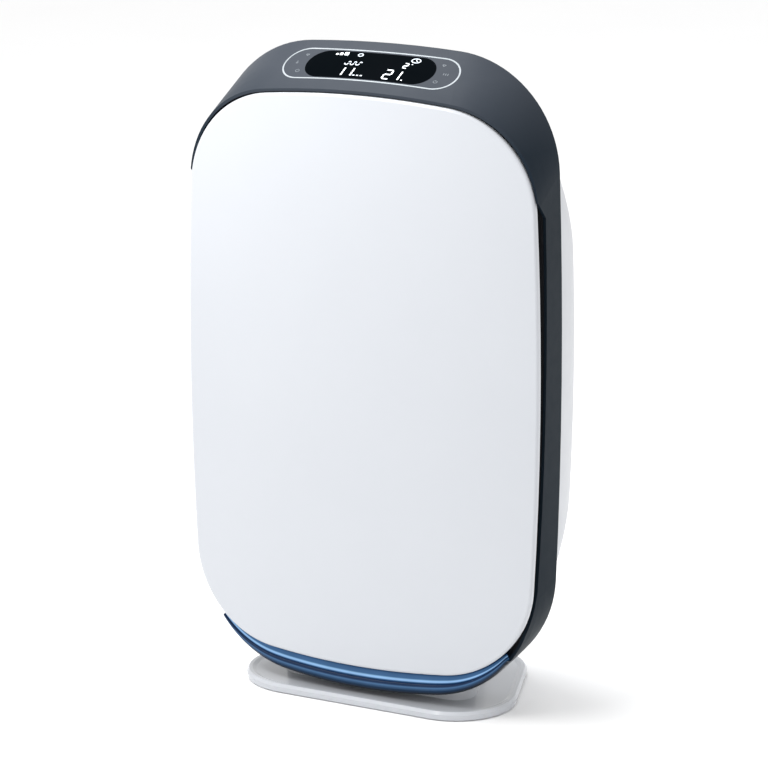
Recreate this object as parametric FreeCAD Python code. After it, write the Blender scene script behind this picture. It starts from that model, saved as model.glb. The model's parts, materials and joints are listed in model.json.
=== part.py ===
"""Floor-standing air purifier: an oval ring housing between a crowned front panel and a domed
rear cover, standing on a flat foot.  Behind the panel lie a pre-filter, a main filter, two
ultraviolet lamps and a centrifugal fan that blows out through a grille at the back.

Millimetres.  +Z is up, the front faces -Y, and the origin is on the floor under the middle.
"""
import FreeCAD, Part
import math
import os
from FreeCAD import Vector

# ---- Overall sizes ---------------------------------------------------------------------
DEPTH = 205.0                       # foot's front edge to the rear cover's flat back
FOOT_REACH = 21.5                   # foot's front edge ahead of the panel's side edges
REAR_Y = DEPTH / 2
FOOT_FRONT_Y = -DEPTH / 2
EDGE_Y = FOOT_FRONT_Y + FOOT_REACH  # depth of the panel's outermost edge, at its sides
MID_Z = 324.5                       # height of the panel's centre
WALL = 3.0
COVER_WALL = 2.5
GAP = 0.3                           # clearance between neighbouring shells

# ---- Front panel -----------------------------------------------------------------------
CROWN = 12.0                        # how far the panel bows forward at its middle
PANEL_HALF = 190.75
PANEL_FACE_Y = EDGE_Y - 3.0         # crown surface at the panel's sides
PANEL_FACE = 3.0                    # wall of the panel's face
PANEL_RIM = 6.0                     # depth of the panel's rim
PANEL_ROUND = 2.6                   # rounding of the panel's front edge
PANEL_PLAY = 1.0                    # least gap between the panel and the shells round it
SHELL_Y = (-110.0, -60.0)           # depths that enclose the panel and the bezel
BACKING_INSET = 16.0                # bonded frame inside the panel, in from its edge
BACKING_WIDTH = 22.0
BACKING = 2.5
POST_PLACES = [(-112.0, 256.0), (112.0, 256.0), (-112.0, -256.0), (112.0, -256.0)]
POST_R = 8.0
MAGNET_R = 5.0
MAGNET = 3.0
MAGNET_PLAY = 0.6                   # closed panel's magnets to the strike plates

# ---- Ring housing ----------------------------------------------------------------------
RING_BACK_Y = -26.6
RING_FRONT_Y = -99.0                # ahead of the crown, which trims the ring's front edge
RING_STATIONS = (-84.0, -72.0, -60.0, -48.0, -36.0)
RING_ROUND = 2.4
RING_LIP = 3.0                      # thickness of the ring's inward lip that the cover meets
ROUND_STEPS = 4
SLOT_BACK_Y = EDGE_Y + 17.2         # rear edge of the side air slots
SLOT_TOP = 196.0                    # slot ends, above and below the panel's centre
SLOT_BOTTOM = -190.0
SLOT_TAIL = -262.0
LIP_BACK_Y = -72.0                  # the lower bezel ends and the ring starts here
LIP_TOP_Z = MID_Z - 222.0

# ---- Lower bezel and its light ---------------------------------------------------------
BEZEL_SINK = 3.5                    # bezel's front behind the panel's crown
BEZEL_ROUND = 8.0
GUIDE_GAP = 3.2                     # panel's edge to the light guide
GUIDE_HEIGHT = 5.0
GUIDE_SINK = 7.5                    # guide's front behind the panel's crown
GUIDE_TAPER = 5.6                   # the guide ends where the bezel is this thick
STRIP_Y = (LIP_BACK_Y - 1.6, LIP_BACK_Y - 0.2)

# ---- Control area on the sloping top ---------------------------------------------------
PILL_LENGTH = 188.0
PILL_HEIGHT = 46.0
PILL_LINE = 1.6                     # width of the bright outline
PILL_UP_SLOPE = 38.0                # from the slope's front edge to the pill's middle
WINDOW_LENGTH = 138.0
WINDOW_HEIGHT = 40.0
WINDOW = 2.4                        # the window's thickness
PILL_CUT = 6.0                      # depth that the outline and the window are cut to
KEY_X = 77.0                        # touch keys on each side of the window
KEY_PITCH = 10.0
KEY_PAD = 5.0
BOARD_TOP = -11.0                   # control board's upper face, measured out of the slope
DISPLAY_TOP = -5.4
BOARD = 1.6                         # thickness of the circuit boards

# ---- Filter bay ------------------------------------------------------------------------
BAY_WIDTH = 304.0
BAY_HEIGHT = 456.0
BAY_WALL = 2.5
BAY_CORNER = 14.0
FRAME_Y = -64.0                     # front plane of the inner frame
FLANGE = 3.0
FRAME_SCREWS = [(-96.0, -262.0), (96.0, -262.0), (-138.0, 240.0), (138.0, 240.0)]
BULKHEAD_Y = -8.0
PREFILTER_DEPTH = 5.0
FILTER_Y = -58.0
FILTER_BACK_Y = -24.3
FILTER_PLAY = 1.5                   # filter to bay wall
FILTER_RIM = 8.0
LEDGE = 14.0                        # corner ledges that the filter's seal rests on
BAR = 4.0                           # width of the pre-filter's bars
MESH = 1.0
MESH_GRIP = 3.0                     # how far the mesh reaches into its frame
SEAL = 3.0
PLEATS = 42
PAPER = 1.8                         # depth of the folded sheet along Y
CARBON_Y = (FILTER_Y + 1.8, FILTER_Y + 12.4)
TAB_X = 70.0
TAB_WIDTH = 20.0
TAB_LENGTH = 48.0
LAMP_X = 118.0
LAMP_Y = -17.0
LAMP_R = 5.5
LAMP_HALF = 140.0
HOLDER_HALF = 8.0

# ---- Fan -------------------------------------------------------------------------------
FAN_Z = MID_Z - 70.0
INLET_R = 84.0
IMPELLER_R = 105.0
IMPELLER_Y = (-1.0, 54.0)
BLADES = 36
BLADE_CHORD = 17.0
SCROLL_Y = (-5.3, 62.0)
SCROLL_R = (118.0, 146.0)           # scroll radius at the cut-off and after a full turn
SCROLL_WALL = 2.5
DUCT_HALF = 84.0
DUCT_TOP = 136.0                    # top of the outlet duct, above the panel's centre
SHAFT_R = 4.0
BEARING_R = 9.5
BEARING_WIDTH = 6.0
BEARING_PLAY = 0.05
MOTOR_R = 45.0
MOTOR_Y = (66.0, 95.0)
MOTOR_WALL = 6.0
ROTOR_R = 21.0
HUB_R = 11.0
HUB_DEPTH = 28.5                    # hub's front ahead of the impeller's back plate
PLATE = 2.5                         # impeller's back plate and front ring
GROMMET_NECK = 4.0
GROMMET_R = 7.0
MOTOR_POSTS = 3
MOTOR_POST_R = 58.0
MOTOR_SCREW_R = 2.0
BRACKET = 2.0
ARM_HALF = 9.0
GUARD_RINGS = (16.0, 30.0, 44.0, 58.0, 72.0, 90.0)
GUARD_WIRE = 1.6
GUARD_SPOKES = 8

# ---- Rear cover ------------------------------------------------------------------------
COVER_INSET = 9.5                   # step from the ring's outline in to the cover's
DOME_SIDE = 68.0                    # how far the dome draws in at its rounded sides
DOME_TOP = 150.0                    # and at its sloping top
DOME_BOTTOM = 128.0                 # and bottom
DOME_STRAIGHT = 0.93                # share of a straight slope in the ends' section
DOME_SECTIONS = 8
GRILLE_WIDTH = 164.0
GRILLE_HEIGHT = 124.0
GRILLE_Z = MID_Z + 70.0
SLATS = 13
CUP_WIDTH = 120.0
CUP_HEIGHT = 34.0
CUP_DEPTH = 36.0
CUP_Z = MID_Z + 172.0
COVER_SCREWS = [(-108.0, 120.0), (108.0, 120.0), (-94.0, -188.0), (94.0, -188.0)]
POST_END_Y = 22.0                   # the cover's screw wells bottom out here
WELL_R = 4.5
WELL_WALL = 2.0
WELL_FLOOR = 3.0
GRILLE_CORNER = 14.0
STILES = (-40.0, 0.0, 40.0)
FIT = 0.2                           # clearance of a part set into the cover

# ---- Sensor door in the rear cover's side ----------------------------------------------
DOOR_Y = (3.0, 43.0)
DOOR_HALF = 24.0
DOOR_Z = MID_Z + 70.0
PIN_R = 1.0
PIN_PLAY = 0.05
KNUCKLE_R = 2.5
LUG = 6.0                           # height of the hinge's lugs
VENTS = 6
VENT_PITCH = 6.0
VENT = 2.0
SENSOR_GAP = 15.0                   # hinge to the sensor's face
SENSOR_WIDTH = 14.0

# ---- Foot ------------------------------------------------------------------------------
FOOT_HALF = 169.5
FOOT_TAPER = 66.0
FOOT_DEPTH = 198.0
FOOT_CORNER = 62.0
FOOT_BOTTOM = 1.2                   # the rubber feet stand this far out below the foot
FOOT_TOP = 9.6
RUBBER_R = 9.0
RUBBER = 3.0
RUBBER_PLACES = [(-112.0, -78.0), (112.0, -78.0), (-72.0, 72.0), (72.0, 72.0)]
SADDLE_TOP = 62.0
FOOT_SCREWS = [(-46.0, -50.0), (-46.0, -35.0), (46.0, -50.0), (46.0, -35.0)]
SCREW_SEAT = 5.0

# ---- Mains inlet -----------------------------------------------------------------------
INLET_X = 40.0
INLET_Z = MID_Z - 146.0
SOCKET_HALF = 8.8
SOCKET_R = 4.6
SOCKET_DEPTH = 17.0
PIN = 1.2                           # radius of the inlet's contacts

# ---- Main board ------------------------------------------------------------------------
BOARD_Y = FRAME_Y + FLANGE + 5
BOARD_Z = MID_Z - 259.0
BOARD_HALF = (74.0, 24.0)
BOARD_POSTS = (68.0, 18.0)

# ---- Screws ----------------------------------------------------------------------------
SCREW_R = 1.5
SCREW_HOLE = 1.7                    # radius of a hole that a screw passes through
SCREW_BOSS = 4.5
HEAD_R = 3.4

FAR = 400.0                         # longer than anything in the model
CUT = 1.0                           # how far a cut runs past what it cuts
TOUCH = 0.01                        # points nearer than this count as touching


# ---- Shape helpers ---------------------------------------------------------------------
def box(x, y, z):
    """Box from three (low, high) pairs."""
    size = (x[1] - x[0], y[1] - y[0], z[1] - z[0])
    return Part.makeBox(size[0], size[1], size[2], Vector(x[0], y[0], z[0]))


def past(y):
    """The span y made a little longer at both ends."""
    return (y[0] - CUT, y[1] + CUT)


def rod(radius, x, z, y):
    """Round bar along Y between y[0] and y[1]."""
    return Part.makeCylinder(radius, y[1] - y[0], Vector(x, y[0], z), Vector(0, 1, 0))


def post(radius, x, y, z):
    """Round bar along Z between z[0] and z[1]."""
    return Part.makeCylinder(radius, z[1] - z[0], Vector(x, y, z[0]), Vector(0, 0, 1))


def tube(outer, inner, x, z, y):
    return rod(outer, x, z, y).cut(rod(inner, x, z, past(y)))


def rounded_bar(half, radius, z, y):
    """Prism along Y whose section is a slot: two half circles joined by flats."""
    middle = box((radius - half, half - radius), y, (z - radius, z + radius))
    left = rod(radius, radius - half, z, y)
    right = rod(radius, half - radius, z, y)
    return joined([middle, left, right])


def rounded_box(x, y, z, radius):
    """Box with its edges along Y rounded."""
    block = box(x, y, z)
    along_y = [e for e in block.Edges if abs(e.tangentAt(0).y) > 0.9]
    return block.makeFillet(radius, along_y)


def group(shapes):
    return Part.makeCompound(list(shapes))


def joined(shapes):
    result = shapes[0]
    for shape in shapes[1:]:
        result = result.fuse(shape)
    return result.removeSplitter()


def bow_radius(half_span, bow):
    """Radius of an arc that rises by bow over twice half_span."""
    return (half_span ** 2 + bow ** 2) / (2 * bow)


# ---- Oval outlines: four shallow arcs and four corner arcs, all tangent ----------------
def outline(half, top, bottom, corners, bows, widest=0.0):
    """Heights are measured from the panel's centre.  corners = (upper, lower) radii;
    bows = (side, top, bottom) rises; widest = height of the widest point."""
    return dict(half=half, top=top, bottom=bottom, corner_top=corners[0], corner_bottom=corners[1],
                side_bow=bows[0], top_bow=bows[1], bottom_bow=bows[2], widest=widest)


def blend(a, b, t):
    """Outline at fraction t of the way from a to b."""
    return {key: a[key] + (b[key] - a[key]) * t for key in a}


def unit(dx, dz):
    length = math.hypot(dx, dz)
    return dx / length, dz / length


def quadrant(o, upper, inset):
    """Tangent points and corner middle on the right-hand side of an outline's upper or lower
    half, as (side point, corner middle, cap point)."""
    side_r = bow_radius((o["top"] - o["bottom"]) / 2, o["side_bow"])
    sx, sz = o["half"] - side_r, MID_Z + o["widest"]
    if upper:
        cap_r = bow_radius(o["half"], o["top_bow"])
        corner_r = o["corner_top"]
        cz = MID_Z + o["top"] - cap_r
    else:
        cap_r = bow_radius(o["half"], o["bottom_bow"])
        corner_r = o["corner_bottom"]
        cz = MID_Z + o["bottom"] + cap_r
    reach_side = side_r - corner_r
    reach_cap = cap_r - corner_r
    span = math.hypot(-sx, cz - sz)
    along = (reach_side ** 2 - reach_cap ** 2 + span ** 2) / (2 * span)
    across = math.sqrt(reach_side ** 2 - along ** 2)
    ux, uz = unit(-sx, cz - sz)
    options = []
    for sign in (1, -1):
        options.append((sx + along * ux - sign * across * uz, sz + along * uz + sign * across * ux))
    kx, kz = max(options, key=lambda p: p[0])
    vx, vz = unit(kx - sx, kz - sz)
    wx, wz = unit(kx, kz - cz)
    side = (sx + (side_r - inset) * vx, sz + (side_r - inset) * vz)
    cap = ((cap_r - inset) * wx, cz + (cap_r - inset) * wz)
    mx, mz = unit(vx + wx, vz + wz)
    middle = (kx + (corner_r - inset) * mx, kz + (corner_r - inset) * mz)
    return side, middle, cap


def outline_wire(o, y, inset=0.0):
    """Closed wire of eight arcs in the plane at depth y, moved inward by inset."""
    side_hi, corner_hi, cap_hi = quadrant(o, True, inset)
    side_lo, corner_lo, cap_lo = quadrant(o, False, inset)
    side_r = bow_radius((o["top"] - o["bottom"]) / 2, o["side_bow"]) - inset
    sx = o["half"] - inset - side_r
    middle_z = (side_hi[1] + side_lo[1]) / 2
    lift = middle_z - MID_Z - o["widest"]
    side_mid = (sx + math.sqrt(side_r ** 2 - lift ** 2), middle_z)
    top_mid = (0.0, MID_Z + o["top"] - inset)
    bottom_mid = (0.0, MID_Z + o["bottom"] + inset)

    def arc(p, q, r, flip=1):
        points = [Vector(flip * a, y, b) for a, b in (p, q, r)]
        return Part.Arc(points[0], points[1], points[2]).toShape()

    left = (-cap_hi[0], cap_hi[1])
    low_left = (-cap_lo[0], cap_lo[1])
    edges = [arc(side_lo, side_mid, side_hi),
             arc(side_hi, corner_hi, cap_hi),
             arc(cap_hi, top_mid, left),
             arc(cap_hi, corner_hi, side_hi, -1),
             arc(side_hi, side_mid, side_lo, -1),
             arc(side_lo, corner_lo, cap_lo, -1),
             arc(low_left, bottom_mid, cap_lo),
             arc(cap_lo, corner_lo, side_lo)]
    return Part.Wire(edges)


def prism(o, y, inset=0.0):
    face = Part.Face(outline_wire(o, y[0], inset))
    return face.extrude(Vector(0, y[1] - y[0], 0))


PANEL = outline(PANEL_HALF, 285.1, -285.1, (100.2, 100.2), (11.5, 20.9, 19.2))
RING_FRONT = outline(190.1, 295.9, -311.1, (104.4, 110.3), (13.0, 26.2, 29.2), 65.0)
RING_BACK = outline(190.0, 327.1, -308.0, (113.3, 113.3), (9.8, 15.1, 57.0), 5.0)
BACK_FLAT = outline(190.0 - COVER_INSET - DOME_SIDE, 327.1 - COVER_INSET - DOME_TOP,
                    -308.0 + COVER_INSET + DOME_BOTTOM, (102.0, 90.0), (8.0, 14.0, 12.0), 8.0)


def ring_outline(y):
    """The ring's outline at depth y; it runs straight from the front edge to the back."""
    return blend(RING_FRONT, RING_BACK, (y - EDGE_Y) / (RING_BACK_Y - EDGE_Y))


def ring_body(inset, y=(RING_FRONT_Y, RING_BACK_Y)):
    """Solid ring envelope between two depths, moved inward by inset."""
    depths = [y[0]] + [station for station in RING_STATIONS if y[0] < station < y[1]] + [y[1]]
    wires = [outline_wire(ring_outline(depth), depth, inset) for depth in depths]
    return Part.makeLoft(wires, True, True)


def behind_crown(depth):
    """All the space behind the panel's crowned face moved back by depth."""
    radius = bow_radius(PANEL_HALF, CROWN)
    front = PANEL_FACE_Y - CROWN
    return Part.makeCylinder(radius - depth, 900, Vector(0, front + radius, -100), Vector(0, 0, 1))


def dome_outline(t):
    """Rear cover's outline at fraction t of its depth: its ends slope in almost straight, and its
    sides follow a quarter ellipse."""
    start = dict(RING_BACK)
    start["half"] -= COVER_INSET
    start["top"] -= COVER_INSET
    start["bottom"] += COVER_INSET
    rounded = 1 - math.sqrt(1 - t * t)
    result = blend(start, BACK_FLAT, DOME_STRAIGHT * t + (1 - DOME_STRAIGHT) * rounded)
    result["half"] = start["half"] - DOME_SIDE * rounded
    return result


def dome(inset, y=(RING_BACK_Y, REAR_Y)):
    """Solid rear-cover envelope, moved inward by inset at its sides."""
    wires = []
    for i in range(DOME_SECTIONS + 1):
        t = math.sin(i / DOME_SECTIONS * math.pi / 2)
        wires.append(outline_wire(dome_outline(min(t, 0.9995)), y[0] + (y[1] - y[0]) * t, inset))
    return Part.makeLoft(wires, True, False)


# ---- The sloping top -------------------------------------------------------------------
def slope_frame():
    """Origin on the slope's front edge at x = 0, unit vector up the slope, and its normal."""
    front_y = PANEL_FACE_Y - CROWN + PANEL_FACE
    front = Vector(0, front_y, MID_Z + ring_outline(front_y)["top"])
    back = Vector(0, RING_BACK_Y, MID_Z + RING_BACK["top"])
    along = (back - front).normalize()
    normal = Vector(1, 0, 0).cross(along)
    return front, along, normal


def slope_pill(length, height, depth):
    """Slot-shaped prism through the slope, centred on the control area."""
    front, along, normal = slope_frame()
    half = length / 2 - height / 2
    low = front + along * PILL_UP_SLOPE - normal * depth

    def corner(x, t):
        return low + Vector(x, 0, 0) + along * t

    r = height / 2
    edges = [Part.LineSegment(corner(-half, -r), corner(half, -r)).toShape(),
             Part.Arc(corner(half, -r), corner(half + r, 0), corner(half, r)).toShape(),
             Part.LineSegment(corner(half, r), corner(-half, r)).toShape(),
             Part.Arc(corner(-half, r), corner(-half - r, 0), corner(-half, -r)).toShape()]
    return Part.Face(Part.Wire(edges)).extrude(normal * (2 * depth))


def slope_block(x, t, n):
    """Box in the slope's own axes: x across, t up the slope from the control area's middle, and
    n out of it."""
    front, along, normal = slope_frame()
    low = front + along * (PILL_UP_SLOPE + t[0]) + normal * n[0] + Vector(x[0], 0, 0)
    across = Vector(x[1] - x[0], 0, 0)
    up = along * (t[1] - t[0])
    face = Part.Face(Part.makePolygon([low, low + across, low + across + up, low + up, low]))
    return face.extrude(normal * (n[1] - n[0]))


# ---- Ring housing and its trim ---------------------------------------------------------
def slot_cutter():
    """Side profile of the air slot; its tail narrows down to the lower bezel."""
    front = EDGE_Y - 30
    slant = SLOT_BACK_Y - EDGE_Y
    points = [(front, SLOT_TOP + slant), (EDGE_Y, SLOT_TOP), (SLOT_BACK_Y, SLOT_TOP - slant),
              (SLOT_BACK_Y, SLOT_BOTTOM), (EDGE_Y + 3, SLOT_TAIL), (front, SLOT_TAIL)]
    corners = [Vector(-FAR, y, MID_Z + z) for y, z in points]
    profile = Part.makePolygon(corners + [corners[0]])
    through = Part.Face(profile).extrude(Vector(2 * FAR, 0, 0))
    return through.cut(box((-120, 120), (-FAR, FAR), (-FAR, 3 * FAR)))


def flange_boss(x, z):
    """Post behind the inner frame's flange that takes one frame screw, webbed to the ring."""
    y = (FRAME_Y + FLANGE + 0.2, FRAME_Y + FLANGE + 12)
    web_z = (z, MID_Z + 330) if z > MID_Z else (0, z)
    web = box((x - 1.5, x + 1.5), y, web_z).common(ring_body(WALL - 0.5))
    return rod(SCREW_BOSS, x, z, y).fuse(web).cut(rod(SCREW_R, x, z, (y[0] - CUT, y[0] + 9)))


def foot_boss(x, y):
    """Post inside the ring's floor that takes one screw from the foot."""
    return post(SCREW_BOSS, x, y, (0, 34)).common(ring_body(WALL - 0.5))


def cover_screw_places():
    return [(x, MID_Z + z) for x, z in COVER_SCREWS]


def ring_envelope():
    """Solid outside of the ring, with its back edge rounded over."""
    sections = [(y, 0.0) for y in (RING_FRONT_Y,) + RING_STATIONS]
    for i in range(ROUND_STEPS + 1):
        angle = i / ROUND_STEPS * math.pi / 2
        y = RING_BACK_Y - RING_ROUND * (1 - math.sin(angle))
        sections.append((y, RING_ROUND * (1 - math.cos(angle))))
    wires = [outline_wire(ring_outline(y), y, inset) for y, inset in sections]
    return Part.makeLoft(wires, True, True)


def pill_line():
    """The band that the bright outline of the control area fills."""
    inner = slope_pill(PILL_LENGTH - 2 * PILL_LINE, PILL_HEIGHT - 2 * PILL_LINE, PILL_CUT)
    return slope_pill(PILL_LENGTH, PILL_HEIGHT, PILL_CUT).cut(inner)


def main_housing():
    shell = ring_envelope().cut(ring_body(WALL, (RING_FRONT_Y - 5, RING_BACK_Y - RING_LIP)))
    lip_y = past((RING_BACK_Y - RING_LIP, RING_BACK_Y))
    shell = shell.cut(ring_body(COVER_INSET + COVER_WALL, lip_y))
    shell = shell.common(behind_crown(PANEL_FACE))
    panel_room = prism(PANEL, (RING_FRONT_Y - 5, FRAME_Y), -PANEL_PLAY)
    shell = shell.cut(panel_room.cut(behind_crown(PANEL_RIM + PANEL_PLAY)))
    shell = shell.cut(slot_cutter())
    shell = shell.cut(box((-FAR, FAR), (-FAR, LIP_BACK_Y), (0, LIP_TOP_Z)))
    shell = shell.cut(slope_pill(WINDOW_LENGTH, WINDOW_HEIGHT, PILL_CUT))
    shell = shell.cut(pill_line().cut(ring_body(PILL_LINE / 2)))
    bosses = [flange_boss(x, z) for x, z in frame_screw_places()]
    bosses += [foot_boss(x, y) for x, y in FOOT_SCREWS]
    shell = joined([shell] + bosses)
    for x, y in FOOT_SCREWS:
        shell = shell.cut(post(SCREW_R, x, y, (0, 24)))
    return shell


def control_outline():
    return pill_line().common(ring_body(-FIT)).cut(ring_body(PILL_LINE / 2))


def display_window():
    pill = slope_pill(WINDOW_LENGTH - FIT, WINDOW_HEIGHT - FIT, PILL_CUT)
    return pill.common(ring_body(FIT / 2)).cut(ring_body(WINDOW))


def control_board():
    return slope_block((-84, 84), (-21, 21), (BOARD_TOP - BOARD, BOARD_TOP))


def display_module():
    return slope_block((-58, 58), (-13, 13), (BOARD_TOP + FIT, DISPLAY_TOP))


def touch_pads():
    """Spring pads that carry the touch keys' charge from the board to the sloping top."""
    pads = []
    half = KEY_PAD / 2
    for x in (-KEY_X, KEY_X):
        for t in (-KEY_PITCH, 0, KEY_PITCH):
            pads.append(slope_block((x - half, x + half), (t - half, t + half), (BOARD_TOP + 0.1, -7.4)))
    return group(pads)


# ---- Lower bezel with its light --------------------------------------------------------

def under_panel(depth, y, outward):
    """Crescent below the panel: inside the ring's front outline, outside the panel's outline
    moved outward, and behind the crown moved back by depth."""
    outer = prism(RING_FRONT, y).common(behind_crown(depth))
    crescent = outer.cut(prism(PANEL, past(y), -outward))
    return crescent.common(box((-FAR, FAR), (-FAR, FAR), (0, LIP_TOP_Z)))


def biggest(shape):
    return max(shape.Solids, key=lambda s: s.Volume)


def lower_bezel():
    body = biggest(under_panel(BEZEL_SINK, (SHELL_Y[0], LIP_BACK_Y), GUIDE_GAP + GUIDE_HEIGHT + FIT))
    front = [e for e in body.Edges if is_bezel_front(e)]
    return body.makeFillet(BEZEL_ROUND, front)


def middle_of(edge):
    return edge.valueAt((edge.FirstParameter + edge.LastParameter) / 2)


def is_bezel_front(edge):
    """True for the long front edge along the bezel's outside."""
    ahead = not behind_crown(BEZEL_SINK + 0.1).isInside(middle_of(edge), TOUCH, True)
    return ahead and not prism(RING_FRONT, SHELL_Y, 1.0).isInside(middle_of(edge), TOUCH, True)


def guide_room():
    """Band below the panel that the light guide and its strip lie in."""
    band = prism(PANEL, (SHELL_Y[0] - 1, SHELL_Y[1]), -GUIDE_GAP - GUIDE_HEIGHT)
    return band.common(prism(RING_FRONT, (SHELL_Y[0] - 1, SHELL_Y[1]), GUIDE_TAPER))


def light_guide():
    crescent = under_panel(GUIDE_SINK, (SHELL_Y[0], STRIP_Y[0] - FIT), GUIDE_GAP)
    return biggest(crescent.common(guide_room()))


def led_strip():
    """Thin board behind the light guide, as long as the guide."""
    low = light_guide().BoundBox
    board = under_panel(0, STRIP_Y, GUIDE_GAP).common(guide_room())
    return biggest(board.common(box((low.XMin, low.XMax), (-FAR, FAR), (low.ZMin, low.ZMax))))


# ---- Front panel -----------------------------------------------------------------------
def front_panel():
    """Crowned face with a short rim turned back all round."""
    skin = prism(PANEL, SHELL_Y).common(behind_crown(0)).cut(behind_crown(PANEL_RIM))
    hollow = prism(PANEL, SHELL_Y, PANEL_FACE + 0.5).common(behind_crown(PANEL_FACE))
    shell = skin.cut(hollow)
    rim = [e for e in shell.Edges if is_panel_front(e)]
    return shell.makeFillet(PANEL_ROUND, rim)


def is_panel_front(edge):
    return not behind_crown(0.05).isInside(middle_of(edge), TOUCH, True)


def panel_backing():
    """Frame bonded inside the panel, with the four posts that hold its magnets."""
    band = prism(PANEL, SHELL_Y, BACKING_INSET)
    band = band.cut(prism(PANEL, SHELL_Y, BACKING_INSET + BACKING_WIDTH))
    parts = [band.cut(behind_crown(PANEL_FACE + BACKING))]
    for x, z in POST_PLACES:
        parts.append(rod(POST_R, x, MID_Z + z, (SHELL_Y[0], FRAME_Y - MAGNET_PLAY)))
    body = joined(parts).common(behind_crown(PANEL_FACE))
    return body.cut(panel_magnets())


def panel_magnets():
    y = (FRAME_Y - MAGNET_PLAY - MAGNET, FRAME_Y - MAGNET_PLAY)
    return group(rod(MAGNET_R, x, MID_Z + z, y) for x, z in POST_PLACES)


# ---- Inner frame: filter bay and bulkhead ----------------------------------------------
def bay_block(y, grow=0.0):
    half = BAY_WIDTH / 2 + grow
    tall = BAY_HEIGHT / 2 + grow
    return rounded_box((-half, half), y, (MID_Z - tall, MID_Z + tall), BAY_CORNER + grow)


def inner_frame():
    flange_y = (FRAME_Y, FRAME_Y + FLANGE)
    flange = ring_body(WALL + GAP, flange_y)
    tub = bay_block((FRAME_Y, BULKHEAD_Y + BAY_WALL), BAY_WALL)
    body = joined([flange, tub]).cut(bay_block((FRAME_Y - 1, BULKHEAD_Y)))
    for sx in (-1, 1):
        for sz in (-1, 1):
            x = sorted((sx * BAY_WIDTH / 2, sx * (BAY_WIDTH / 2 - LEDGE)))
            z = sorted((MID_Z + sz * BAY_HEIGHT / 2, MID_Z + sz * (BAY_HEIGHT / 2 - LEDGE)))
            ledge = box(x, (FILTER_BACK_Y + GAP, BULKHEAD_Y + 1), z)
            body = body.fuse(ledge.common(tub))
    body = body.cut(rod(INLET_R + 2, 0, FAN_Z, past((BULKHEAD_Y, BULKHEAD_Y + BAY_WALL))))
    post_y = (BULKHEAD_Y + BAY_WALL / 2, POST_END_Y - FIT)
    posts = [rod(WELL_R + WELL_WALL, x, z, post_y) for x, z in cover_screw_places()]
    body = joined([body] + posts)
    for x, z in cover_screw_places():
        body = body.cut(rod(SCREW_R, x, z, (POST_END_Y - 14, POST_END_Y)))
    body = body.cut(slope_block((-90, 90), (-30, 28), (-15, 5)))
    for x, z in POST_PLACES:
        body = body.cut(rod(MAGNET_R, x, MID_Z + z, past(flange_y)))
    for x, z in frame_screw_places():
        body = body.cut(rod(SCREW_HOLE, x, z, past(flange_y)))
    return body.removeSplitter()


def strike_plates():
    """Steel discs in the frame that the panel's magnets pull against."""
    return group(rod(MAGNET_R, x, MID_Z + z, (FRAME_Y, FRAME_Y + FLANGE)) for x, z in POST_PLACES)


def frame_screw_places():
    return [(x, MID_Z + z) for x, z in FRAME_SCREWS]


def domed_screw(x, z, head_y, length, head=2.0):
    """Screw along +Y with a domed head on its -Y end."""
    cap = rod(HEAD_R, x, z, (head_y - head, head_y))
    front = [e for e in cap.Edges if abs(e.BoundBox.YMax - head_y + head) < TOUCH]
    cap = cap.makeFillet(head * 0.7, front)
    return cap.fuse(rod(SCREW_R, x, z, (head_y, head_y + length)))


def frame_screws():
    return group(domed_screw(x, z, FRAME_Y, 8) for x, z in frame_screw_places())


def fan_inlet_ring():
    """Bellmouth that leads the air from the bay into the impeller's eye."""
    y0 = BULKHEAD_Y
    lip = IMPELLER_Y[0] + 5
    points = [(INLET_R + 2, y0), (INLET_R + 2, y0 + BAY_WALL), (INLET_R - 1.6, lip), (INLET_R - 3.6, lip),
              (INLET_R - 3.6, y0 + 6), (INLET_R - 0.5, y0)]
    corners = [Vector(r, y, FAN_Z) for r, y in points]
    profile = Part.Face(Part.makePolygon(corners + [corners[0]]))
    return profile.revolve(Vector(0, 0, FAN_Z), Vector(0, 1, 0), 360)


def inlet_grille():
    """Finger guard over the fan's inlet: rings joined by spokes."""
    y = (BULKHEAD_Y - 2.0, BULKHEAD_Y - 0.1)
    rings = [tube(r, r - GUARD_WIRE, 0, FAN_Z, y) for r in GUARD_RINGS]
    rings.append(rod(6, 0, FAN_Z, y))
    spokes = []
    for i in range(GUARD_SPOKES):
        spoke = box((0, GUARD_RINGS[-1] - 0.5), y, (FAN_Z - 1, FAN_Z + 1))
        spoke.rotate(Vector(0, 0, FAN_Z), Vector(0, 1, 0), i * 360.0 / GUARD_SPOKES)
        spokes.append(spoke)
    return joined(rings + spokes)


def uv_lamps():
    z = (MID_Z - LAMP_HALF, MID_Z + LAMP_HALF)
    return group(post(LAMP_R, x, LAMP_Y, z) for x in (-LAMP_X, LAMP_X))


def uv_lamp_holders():
    holders = []
    for x in (-LAMP_X, LAMP_X):
        for side in (-1, 1):
            z = sorted((MID_Z + side * (LAMP_HALF - 9), MID_Z + side * (LAMP_HALF + 7)))
            y = (LAMP_Y - HOLDER_HALF + 1.1, BULKHEAD_Y)
            holders.append(box((x - HOLDER_HALF, x + HOLDER_HALF), y, z))
    return group(holders).cut(uv_lamps())


# ---- Filters ---------------------------------------------------------------------------
def filter_block(y, inset=0.0, radius=BAY_CORNER - FILTER_PLAY):
    half = BAY_WIDTH / 2 - FILTER_PLAY - inset
    tall = BAY_HEIGHT / 2 - FILTER_PLAY - inset
    return rounded_box((-half, half), y, (MID_Z - tall, MID_Z + tall), radius)


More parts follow.
